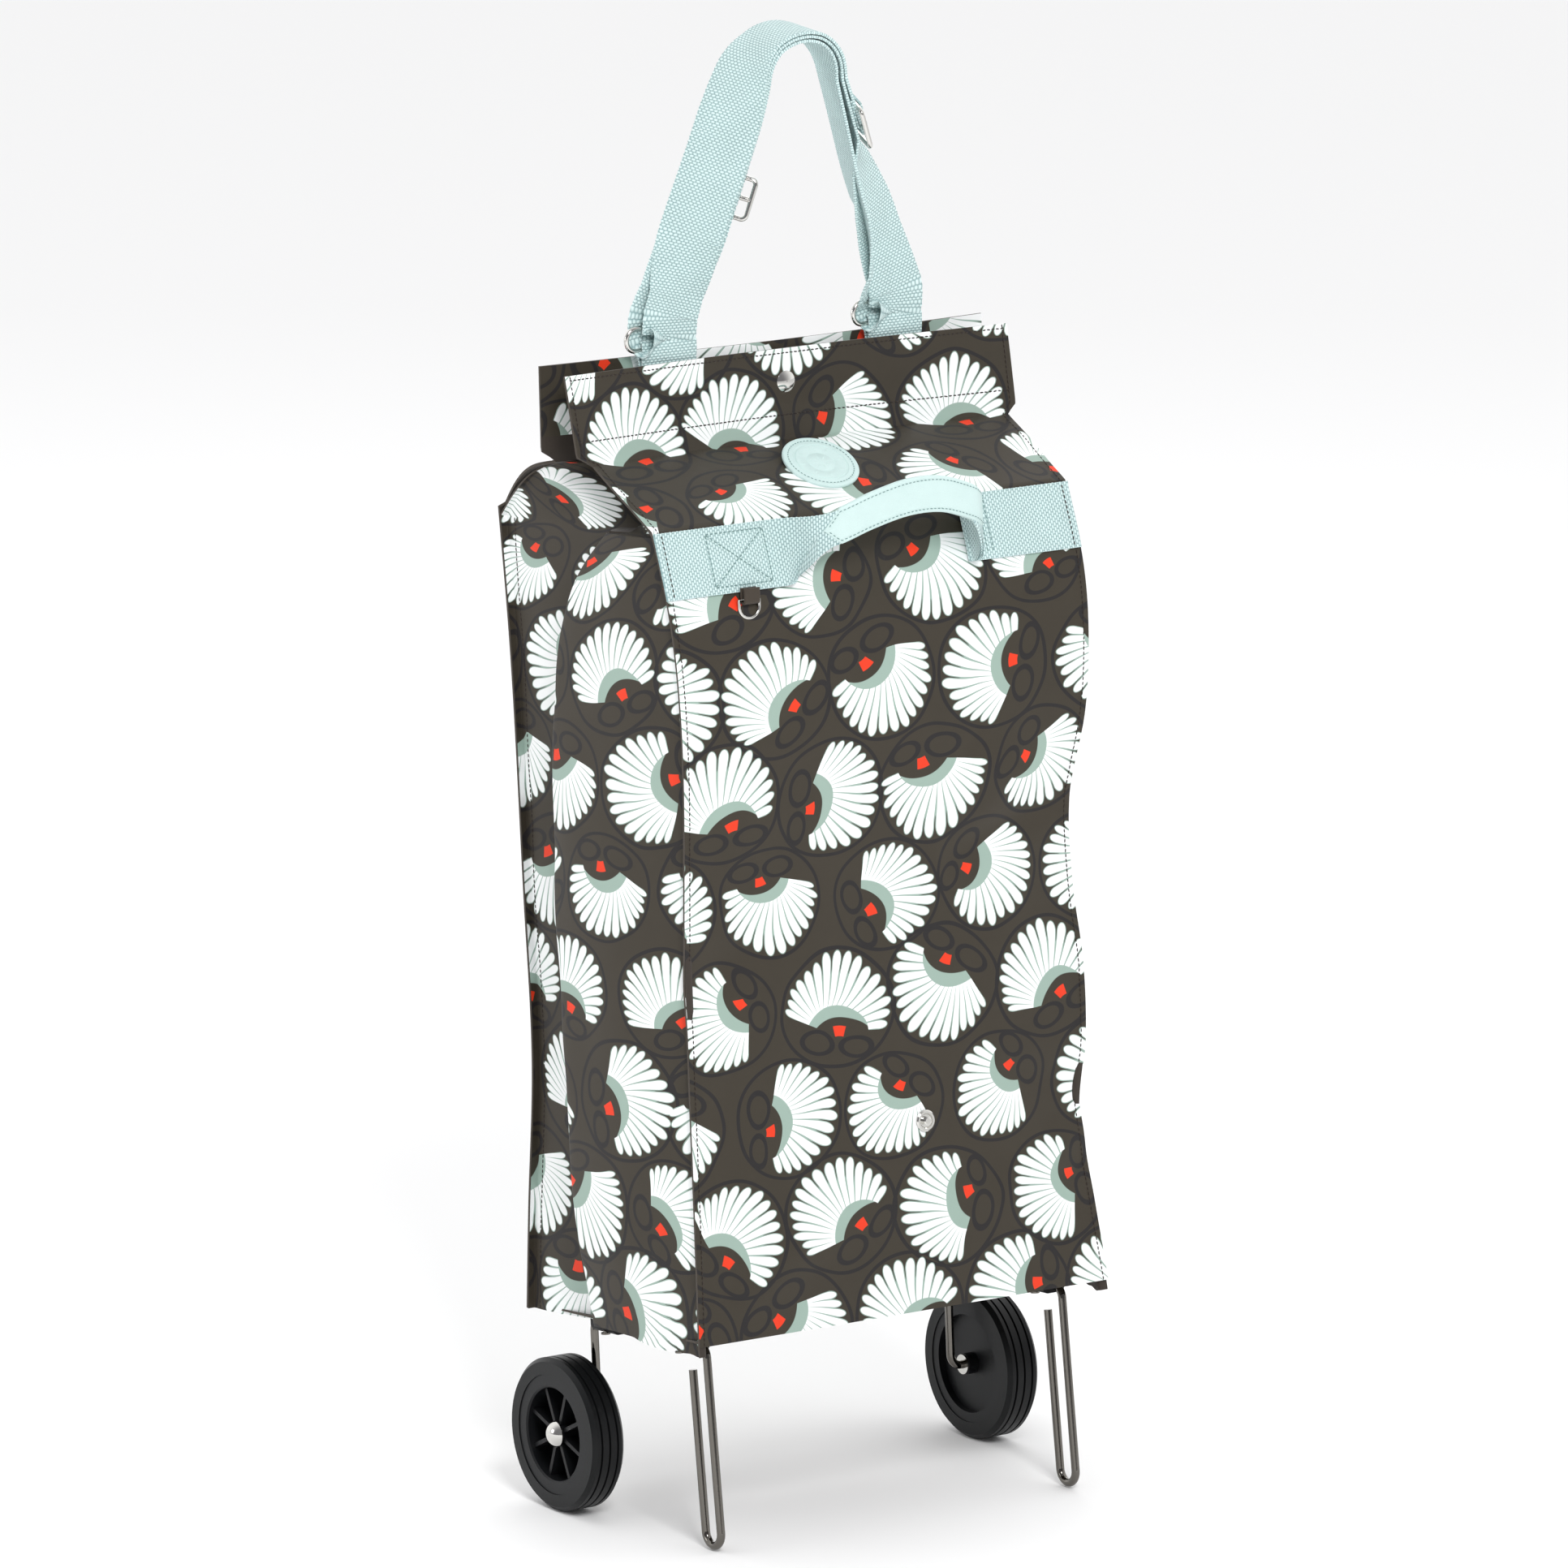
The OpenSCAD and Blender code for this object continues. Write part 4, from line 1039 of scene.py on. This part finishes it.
def grab_path():
    """Plan of the webbing from the left seam to the right one: x, distance out and share of the loop."""
    loop = np.array(LOOP, float)
    chord = line_lengths(loop)
    fine = np.linspace(0, chord[-1], 240)
    ends = 60
    left = np.linspace(-BAG_W / 2, loop[0, 0], ends)[:-1]
    after = np.linspace(loop[-1, 0], BAG_W / 2, ends)[1:]
    still = np.zeros(ends - 1)
    path = np.stack([
        np.concatenate([left, ramp(fine, list(zip(chord, loop[:, 0]))), after]),
        np.concatenate([still, ramp(fine, list(zip(chord, loop[:, 1]))), still]),
        np.concatenate([still, fine / chord[-1], still + 1]),
    ], -1)
    run = line_lengths(path[:, :2])
    return blur(evenly(np.linspace(0, run[-1], 420), run, path), 12)


def blur(values, times):
    """Softens a line of points, with its ends held."""
    for _ in range(times):
        padded = np.concatenate([2 * values[:1] - values[1:2], values, 2 * values[-1:] - values[-2:-1]])
        values = (padded[:-2] + 2 * padded[1:-1] + padded[2:]) / 4
    return values


grab = grab_path()
grab_run = directions(grab[:, :2])
grab_out = np.stack([-grab_run[:, 1], -grab_run[:, 0], 0 * grab_run[:, 0]], -1)
grab_fold = np.minimum(smooth((grab[:, 2] - 0.02) / 0.2), smooth((0.93 - grab[:, 2]) / 0.2))
grab_top = BAND_TOP + ramp(grab[:, 2], HUMP)
grab_length = line_lengths(grab[:, :2])


def grab_point(k, z, depth):
    """A point on the webbing's face at height z, depth mm in front of it."""
    x, out, _ = grab[k]
    level = mix(min(z, FRONT_H - 3), 468.0, smooth(out / 10))
    base = surface_y(x, level) - WEB_T - 0.2
    return np.array([x, base - out, z]) + grab_out[k] * depth


def grab_webbing():
    """The webbing across the front: flat at both ends, folded lengthwise in the middle."""
    half = WEB_W / 2
    sections, uvs = [], []
    for k, fold in enumerate(grab_fold):
        middle = grab_top[k] - half
        turn = -half + fold * half
        gap = FOLD_GAP * fold
        ripple = 0.18 * math.sin(grab_length[k] * math.tau / 2.6)
        section = [(w, 0.0, w) for w in np.linspace(half + ripple, turn + 0.01, 14)]
        section += [(turn - gap * math.sin(a), -gap * (1 - math.cos(a)), turn)
                    for a in np.linspace(0, math.pi, 5)[1:-1]]
        section += [(turn + (turn + half) * q, -2 * gap, turn - (turn + half) * q)
                    for q in np.linspace(0.001, 1, 10)]
        section.reverse()
        sections.append([grab_point(k, middle + w, depth) for w, depth, _ in section])
        uvs.append([(flat, grab_length[k]) for _, _, flat in section])
    points = np.array(sections).transpose(1, 0, 2)
    uv = np.array(uvs).transpose(1, 0, 2) * MM
    made = cloth("grab_webbing", points, [WEBBING], WEB_T, uv)
    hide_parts("left_band", "right_band", "grab_handle")
    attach(made, "root")


grab_webbing()


def band_line(x0, w0, x1, w1):
    """A straight row of stitches on the flat part of the band."""
    t = np.linspace(0, 1, 40)
    xs, ws = mix(x0, x1, t), mix(w0, w1, t)
    ks = [int(np.argmin(np.abs(grab[:, 0] - x))) for x in xs]
    points = np.array([grab_point(k, BAND_TOP - WEB_W / 2 + w, 0.05) for k, w in zip(ks, ws)])
    points[:, 0] = xs
    return points, np.broadcast_to([0.0, -1.0, 0.3], points.shape)


box = [(-112, -15), (-112, 15), (-72, 15), (-72, -15)]
box_lines = [band_line(*a, *b) for a, b in zip(box, box[1:] + box[:1])]
box_lines += [band_line(*box[0], *box[2]), band_line(*box[1], *box[3])]
box_lines += [band_line(84, -15, 84, 15), band_line(80, -15, 80, 15)]
box_seam = stitches("band_stitches", box_lines, PALE_THREAD)
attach(box_seam, "root")
EDGE_X = BAG_W / 2 - SEW_IN - 1
edge_lines = [band_line(side * EDGE_X, -18, side * EDGE_X, 18) for side in (LEFT, RIGHT)]
edge_seam = stitches("band_edge_stitches", edge_lines, THREAD)
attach(edge_seam, "root")

GRIP_FROM, GRIP_TO = 0.17, 0.87
GRIP_HALF, GRIP_THICK = 10.8, 2.9
GRIP_CORE = 1.9      # depth of the sleeve's middle behind the webbing's face


def handle_grip():
    """The leather sleeve round the folded webbing, with a pointed left end and a round right end."""
    ks = [k for k in range(len(grab)) if GRIP_FROM <= grab[k, 2] <= GRIP_TO]
    start, end = grab_length[ks[0]], grab_length[ks[-1]]
    angles = [math.tau * m / 44 for m in range(44)]
    rows, normals, seams = [], [], {1: [], -1: []}

    def squarish(value):
        return np.sign(value) * abs(value) ** 0.4

    for k in ks:
        middle = grab_top[k] - WEB_W / 4
        left_end = np.clip((grab_length[k] - start) / 10, 0.03, 1)
        right_end = math.sqrt(max(0.02, 1 - np.clip(1 - (end - grab_length[k]) / 8, 0, 1) ** 2))
        size = GRIP_HALF * min(left_end, right_end)
        rows.append([grab_point(k, middle + size * squarish(math.cos(a)),
                                GRIP_THICK * squarish(math.sin(a)) - GRIP_CORE) for a in angles])
        normals.append(grab_out[k])
        for way, line in seams.items():
            line.append(grab_point(k, middle + way * max(0.2, size - 2.3), GRIP_THICK - GRIP_CORE))
    rings = np.array(rows)
    ids = np.arange(rings.shape[0] * rings.shape[1]).reshape(rings.shape[:2])
    nxt = np.roll(ids, -1, axis=1)
    faces = np.stack([ids[:-1], ids[1:], nxt[1:], nxt[:-1]], -1).reshape(-1, 4).tolist()
    faces += [ids[0].tolist(), ids[-1][::-1].tolist()]
    made = add_object("leather_grip", place(rings.reshape(-1, 3)), faces, [LEATHER], sharp=0.9)
    face_outward(made)
    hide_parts("handle_grip")
    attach(made, "root")
    lines = [(np.array(line)[4:-4], np.array(normals)[4:-4]) for line in seams.values()]
    sewn = stitches("grip_stitches", lines, PALE_THREAD, pitch=2.6, length=1.9, radius=0.28)
    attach(sewn, "root")


handle_grip()

# ---------------------------------------------------------------- badge and snaps


def bag_axis(at, direction):
    """A point and a direction of the bag frame, in the row frame."""
    start = place(np.array(at, float))
    end = place(np.array(at, float) + np.array(direction, float))
    return start, (end - start) / np.linalg.norm(end - start)


BADGE_TILT = math.radians(6)
BADGE_R = 23.5
BADGE_LIFT = 3.0     # from the slope's crown to the back of the disc


def make_badge():
    """The leather disc; returns its centre, its up direction and its outward one."""
    foot = np.array([0, GABLE_Y - half_gap(np.array(0.0), 0.0) - 1, COLLAR_FOOT])
    shoulder = np.array([0, -float(FRONT_SHOULDER), FRONT_H])
    middle = mix(shoulder, foot, 0.53) + [-4.0, 0, 0]
    up = (foot - shoulder) / np.linalg.norm(foot - shoulder)
    c, s = math.cos(BADGE_TILT), math.sin(BADGE_TILT)
    up = np.array([0, up[1] * c - up[2] * s, up[2] * c + up[1] * s])
    out = np.array([0, -up[2], up[1]])
    middle = middle + out * 1.4 + out * BADGE_LIFT
    at, direction = bag_axis(middle, out)
    r = BADGE_R
    profile = [(0, 0), (r - 0.6, 0), (r, 0.5), (r, 1.5), (r - 0.5, 2.1), (r - 1.4, 2.25), (r - 2.6, 2.2),
               (r - 3.4, 1.95), (r - 4.2, 2.2), (17.2, 2.2), (16.6, 1.75), (16.0, 1.75), (15.4, 2.2),
               (9.6, 2.2), (9.0, 1.8), (8.4, 1.8), (7.8, 2.2), (0, 2.2)]
    made = lathe("badge_disc", profile, [LEATHER], at, direction)
    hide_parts("badge")
    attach(made, "front_flap")
    return middle, up, out


badge_at, badge_up, badge_out = make_badge()


def badge_trim():
    """Stitches round the badge's edge and raised beads between its two pressed rings."""
    side = np.cross(badge_up, badge_out)
    a = np.linspace(0, math.tau, 121)[:, None]
    ring = badge_at + badge_out * 2.02 + (side * np.cos(a) + badge_up * np.sin(a)) * 20.1
    made = stitches("badge_stitches", [(ring, np.broadcast_to(badge_out, ring.shape))], PALE_THREAD,
                    pitch=2.3, length=1.6, radius=0.3)
    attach(made, "front_flap")
    verts, faces, count = [], [], 0
    petals = 8
    for k in range(petals):
        t = math.tau * k / petals
        along = side * math.cos(t) + badge_up * math.sin(t)
        across = np.cross(badge_out, along)
        for centre, long_r, short_r in ((12.5, 2.0, 1.3), (4.6, 2.2, 1.1)):
            p = (badge_at + badge_out * 2.05 + along * centre
                 + STITCH_VERTS[:, 0:1] * long_r * along
                 + STITCH_VERTS[:, 1:2] * short_r * across
                 + STITCH_VERTS[:, 2:3] * 0.45 * badge_out)
            verts.append(p)
            faces.append(STITCH_FACES + count)
            count += len(p)
    beads = add_object("badge_relief", place(np.concatenate(verts)), np.concatenate(faces), [LEATHER])
    smoother = beads.modifiers.new("round", "SUBSURF")
    smoother.levels = smoother.render_levels = 1
    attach(beads, "front_flap")


badge_trim()

# the nodes that keep their CAD shape, by material
for material, nodes in (
    (NICKEL, ("snap_cap", "snap_socket", "snap_stud", "lower_snap", "d_ring", "left_ring", "right_ring",
              "left_slider", "right_slider", "left_washer", "right_washer", "left_axle_cap",
              "right_axle_cap")),
    (WIRE, ("left_frame_wire", "right_frame_wire", "clip_rivets")),
    (CLIP, ("front_left_clip", "rear_left_clip", "front_right_clip", "rear_right_clip")),
    (HUB, ("left_hub", "right_hub")),
    (TYRE, ("left_tyre", "right_tyre")),
    (BOARD, ("base_board",)),
):
    for node in nodes:
        frame["nodes"][node].data.materials.clear()
        frame["nodes"][node].data.materials.append(material)

# ---------------------------------------------------------------- pull strap

STRAP_LEAN = math.radians(7)
STRAP_Y, RING_Z, RING_X = 2.1, 573, 80
RING_H, BAR_R, LOOP_R = 13.5, 1.5, 3.6
STRAP_W, STRAP_H, STRAP_R = 38, 181, 33
LAYER_T = 1.9
REAR_SHIFT = -7.0    # how far the rear layers stand to the left at the rings
S_STEP = 0.004
LEFT_SLIDER, RIGHT_SLIDER = 0.42, 1.4
BEND_STEPS = 14
ACROSS_X = np.array([1.0, 0, 0])
FOOT_Z = RING_H + LOOP_R + 0.1
ARC_Z = STRAP_H - STRAP_R
LEG_DZ = ARC_Z - FOOT_Z
LEG_D = math.hypot(RING_X, LEG_DZ)
TANGENT = math.acos(STRAP_R / LEG_D) - math.atan2(LEG_DZ, RING_X)
LEG_L = math.sqrt(LEG_D**2 - STRAP_R**2)
LEG_SHARE = LEG_L / (LEG_L + STRAP_R * (math.pi / 2 - TANGENT))
LEFT_TURN = [(0, 0), (0.08, 0), (0.26, 38), (0.59, 38), (0.9, 90), (1, 90)]
RIGHT_TURN = [(0, 0), (0.1, 6), (0.3, 34), (0.42, 70), (0.76, 70), (0.95, 90), (1, 90)]
MIDDLE_TURN = [(0, 0), (0.1, 6), (0.3, 22), (0.44, 40), (0.56, 70), (0.76, 70), (0.95, 90), (1, 90)]
REAR_TURN = [(0, 10), (0.1, 48), (0.3, 70), (0.76, 74), (0.95, 90), (1, 90)]


def strap_place(p):
    """Points of the strap's own frame, in mm, into the row frame."""
    p = np.asarray(p, float)
    c, s = math.cos(STRAP_LEAN), math.sin(STRAP_LEAN)
    y = STRAP_Y + p[..., 1] * c - p[..., 2] * s
    z = RING_Z + p[..., 1] * s + p[..., 2] * c
    return place(np.stack([p[..., 0], y, z], -1))


def strap_line(t):
    """Middle line, direction and width direction of a strap leg at t, drawn for the left."""
    leg = t < LEG_SHARE
    k = np.clip(t / LEG_SHARE, 0, 1)
    a = np.where(leg, TANGENT, mix(TANGENT, math.pi / 2, (t - LEG_SHARE) / (1 - LEG_SHARE)))
    tx, tz = STRAP_R * math.cos(TANGENT), ARC_Z + STRAP_R * math.sin(TANGENT)
    x = np.where(leg, -mix(RING_X, tx, k), -STRAP_R * np.cos(a))
    z = np.where(leg, mix(FOOT_Z, tz, k), ARC_Z + STRAP_R * np.sin(a))
    return np.stack([x, 0 * x, z], -1), np.stack([np.sin(a), 0 * a, np.cos(a)], -1)


def strap_frame_at(s, right_turn=RIGHT_TURN):
    """Point, width direction and inner normal at s: 0 the left ring, 1 the top, 2 the right ring."""
    right = s > 1
    t = np.where(right, 2 - s, s)
    p, along = strap_line(t)
    a = np.radians(np.where(right, np.interp(t, *zip(*right_turn)), np.interp(t, *zip(*LEFT_TURN))))
    flat = np.stack([np.cos(a), -np.sin(a), 0 * a], -1)
    wide = unit(flat - along * np.sum(flat * along, -1, keepdims=True) * smooth(t / 0.16)[:, None])
    inner = unit(np.cross(along, wide))
    flip = np.where(right[:, None], [-1.0, 1.0, 1.0], [1.0, 1.0, 1.0])
    p, wide, inner = p * flip, wide * flip, inner * flip
    wide = np.where(right[:, None], -wide, wide)
    return p, wide, inner


def ring_turn(side):
    """The webbing's slack way round a ring's upper bar, from its front face to its rear one."""
    r = BAR_R + LAYER_T / 2 + 0.35
    a = np.linspace(0, math.pi, BEND_STEPS)
    x = side * RING_X + REAR_SHIFT * np.linspace(0, 1, BEND_STEPS)
    return np.stack([x, -r * np.cos(a), RING_H - 6.2 - r * np.sin(a)], -1)


def layer(s, offset, bow_x, right_turn=RIGHT_TURN):
    """A layer of webbing along s: offset mm towards the inside, and bowed away by bow_x."""
    p, wide, inner = strap_frame_at(s, right_turn)
    p = p + inner * offset[:, None]
    p[:, 0] += bow_x
    return p, wide


def strap_layers():
    """The three layers of the one long webbing, from the right slider's sewn end to the left one's."""
    near, apart = 2.8, 2.4
    # outer layer: from the right slider back over the top to the left ring
    s = np.arange(RIGHT_SLIDER + 0.03, 0.0, -S_STEP)
    off = -mix(near, apart, smooth(s / 0.14)) - 1.4 * smooth((s - 1.22) / 0.2)
    outer = layer(s, off, -2.0 * bump(s, 0.25, 0.22))
    # middle layer: from the left ring over the top to the right ring
    s = np.arange(0.0, 2.0, S_STEP)
    off = near * (1 - smooth(s / 0.22)) - near * smooth((s - 1.78) / 0.2)
    middle = layer(s, off, REAR_SHIFT * (1 - smooth(s / 0.3)) + 1.5 * bump(s, 1.7, 0.15), MIDDLE_TURN)
    # inner layer: from the right ring back over the top to the left slider
    s = np.arange(2.0, LEFT_SLIDER - 0.03, -S_STEP)
    off = mix(near, apart, smooth((2 - s) / 0.14)) + 1.0 * smooth((0.6 - s) / 0.16)
    bow = REAR_SHIFT * smooth((s - 1.75) / 0.25) - 5.0 * bump(s, 1.62, 0.26) - 2.0 * bump(s, 1.25, 0.2)
    inner = layer(s, off, bow, REAR_TURN)
    return outer, middle, inner


def strap_webbing():
    outer, middle, inner = strap_layers()
    left, right = ring_turn(LEFT), ring_turn(RIGHT)
    across = np.broadcast_to(ACROSS_X, left.shape)
    centre = np.concatenate([outer[0], left, middle[0], right, inner[0]])
    wide = np.concatenate([outer[1], across, middle[1], across, inner[1]])
    for k in range(1, len(wide)):
        if np.dot(wide[k], wide[k - 1]) < 0:
            wide[k] = -wide[k]
    centre = blur(centre, 3)
    run = line_lengths(centre)
    even = np.arange(0, run[-1], 0.68)
    centre, wide = evenly(even, run, centre), evenly(even, run, wide)
    along = directions(centre)
    wide = unit(wide - along * np.sum(wide * along, 1, keepdims=True))
    made = strip("strap_webbing_soft", centre, wide, STRAP_W, LAYER_T, strap_place)
    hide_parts("strap_webbing", "left_strap_loop", "right_strap_loop")
    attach(made, "pull_strap")


strap_webbing()


def slider_end(side):
    """The webbing's sewn end, wrapped round a slider's middle bar."""
    s = np.array([LEFT_SLIDER if side == LEFT else RIGHT_SLIDER])
    p, wide, inner = (found[0] for found in strap_frame_at(s))
    t = s[0] if side == LEFT else 2 - s[0]
    out = inner * (1 if side == LEFT else -1)
    bar = p + out * (mix(4, 6, t) / 2 + BAR_R + 0.3)
    up = np.cross(wide, inner)
    up = up if up[2] > 0 else -up
    r = BAR_R + LAYER_T / 2 + 0.15
    tail_in = bar + up * np.linspace(17, 2.5, 20)[:, None] - out * r
    tail_out = bar + up * np.linspace(2.5, 13, 16)[:, None] + out * (r - 0.2)
    turn = np.linspace(0, math.pi, BEND_STEPS)[:, None]
    loop = bar + r * (-np.cos(turn) * out - np.sin(turn) * up)
    centre = blur(np.concatenate([tail_in, loop, tail_out]), 2)
    across = np.broadcast_to(wide, centre.shape)
    made = strip(f"{NAME[side]}_slider_end", centre, across, STRAP_W - 1, 1.3, strap_place)
    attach(made, f"{NAME[side]}_adjuster")


for side in (LEFT, RIGHT):
    slider_end(side)

TAB_DOWN = 27        # how far a ring's tab reaches down between the collars


def strap_tab(side):
    """The webbing tab between the collars that holds a ring."""
    r = BAR_R + LAYER_T / 2 + 0.1
    a = np.linspace(0, math.pi, BEND_STEPS)
    still, down = np.zeros(20), np.linspace(-TAB_DOWN, 0, 20)
    front_run = np.stack([still, still - r, down], -1)
    over = np.stack([0 * a, -r * np.cos(a), 2.6 + r * np.sin(a)], -1)
    rear_run = np.stack([still, still + r, down[::-1]], -1)
    centre = np.concatenate([front_run, over, rear_run])
    centre[:, 1] *= 1 - 0.62 * smooth(-centre[:, 2] / 14)
    centre = centre + np.array([side * RING_X, STRAP_Y, RING_Z])
    across = np.broadcast_to(ACROSS_X, centre.shape)
    made = strip(f"{NAME[side]}_ring_tab", centre, across, STRAP_W, LAYER_T, place)
    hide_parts(f"{NAME[side]}_strap_tab")
    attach(made, "root")


for side in (LEFT, RIGHT):
    strap_tab(side)

KEY_X, KEY_Z = -91, 434


def d_ring_tab():
    """The folded cloth loop that holds the D-ring."""
    y = float(front_y(np.array(KEY_Z))) - 3.4
    r = 1.75
    front_run = np.array([[0, -1.9, 7.5], [0, -1.9, 4.5], [0, -1.85, 2.0]])
    turn = np.linspace(0, math.pi, 12)
    under = np.stack([0 * turn, -r * np.cos(turn), -r * np.sin(turn)], -1)
    rear_run = np.array([[0, 1.8, 2.0], [0, 1.9, 4.5], [0, 1.9, 7.5]])
    centre = np.concatenate([front_run, under, rear_run])
    run = line_lengths(centre)
    centre = evenly(np.linspace(0, run[-1], 50), run, centre) + np.array([KEY_X, y, KEY_Z])
    across = np.broadcast_to(ACROSS_X, centre.shape)
    made = strip("key_ring_tab", centre, across, 11, 1.0, place, TRIM_CLOTH, 0.0)
    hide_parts("d_ring_tab")
    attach(made, "root")


d_ring_tab()

# ---------------------------------------------------------------- floor, light and camera

FAR = 30.0
floor_mesh = bpy.data.meshes.new("floor")
floor_mesh.from_pydata([(-FAR, -FAR, 0), (FAR, -FAR, 0), (FAR, FAR, 0), (-FAR, FAR, 0)], [], [(0, 1, 2, 3)])
floor = bpy.data.objects.new("floor", floor_mesh)
bpy.context.scene.collection.objects.link(floor)
floor_material, _, floor_shader = new_material("floor", Roughness=0.9, Specular_IOR_Level=0.1)
floor_shader.inputs["Base Color"].default_value = (0.93, 0.93, 0.93, 1)
floor_mesh.materials.append(floor_material)
floor.location.z = -0.0005

world = bpy.data.worlds.new("studio")
bpy.context.scene.world = world
world.use_nodes = True
sky = Nodes(world.node_tree)
facing = sky.vec("DOT_PRODUCT", sky.node("ShaderNodeTexCoord").outputs["Generated"], (0.56, 0.83, 0.1))
background = world.node_tree.nodes["Background"]
sky.put(background.inputs["Color"],
        sky.blend(sky.step(facing, -0.75, 0.35), (0.2, 0.2, 0.21, 1.0), (1.0, 1.0, 1.0, 1.0)))
background.inputs["Strength"].default_value = 1.3


def area_light(name, at, towards, size, power):
    data = bpy.data.lights.new(name, "AREA")
    data.shape, data.size, data.energy = "SQUARE", size, power
    made = bpy.data.objects.new(name, data)
    made.location = at
    made.rotation_euler = (Vector(towards) - Vector(at)).to_track_quat("-Z", "Y").to_euler()
    bpy.context.scene.collection.objects.link(made)


area_light("key", (-0.9, -2.4, 2.3), (0, 0, 0.4), 1.0, 58)
area_light("side", (-2.6, 0.6, 0.9), (0, 0, 0.4), 1.0, 9)
area_light("back", (1.4, 2.2, 2.0), (0, 0, 0.5), 1.4, 8)

bpy.context.scene.view_settings.view_transform = "Standard"

AZIMUTH, ELEVATION, ROLL = (math.radians(a) for a in (-34.17, 12.72, -0.40))
DISTANCE, LENS = 8.118, 316.4
back = Vector((math.sin(AZIMUTH) * math.cos(ELEVATION), -math.cos(AZIMUTH) * math.cos(ELEVATION),
               math.sin(ELEVATION)))
right = Vector((math.cos(AZIMUTH), math.sin(AZIMUTH), 0))
up = back.cross(right)
camera_data = bpy.data.cameras.new("camera")
camera_data.sensor_width = 36
camera_data.lens = LENS
camera = bpy.data.objects.new("camera", camera_data)
bpy.context.scene.collection.objects.link(camera)
aim = Vector((0, 0.0034, 0.450)) + right * -0.0126 + up * -0.0238
basis = Matrix((right, up, back)).transposed() @ Matrix.Rotation(-ROLL, 3, "Z")
camera.matrix_world = Matrix.Translation(aim + back * DISTANCE) @ basis.to_4x4()
camera_data.clip_start, camera_data.clip_end = 0.1, 100
bpy.context.scene.camera = camera
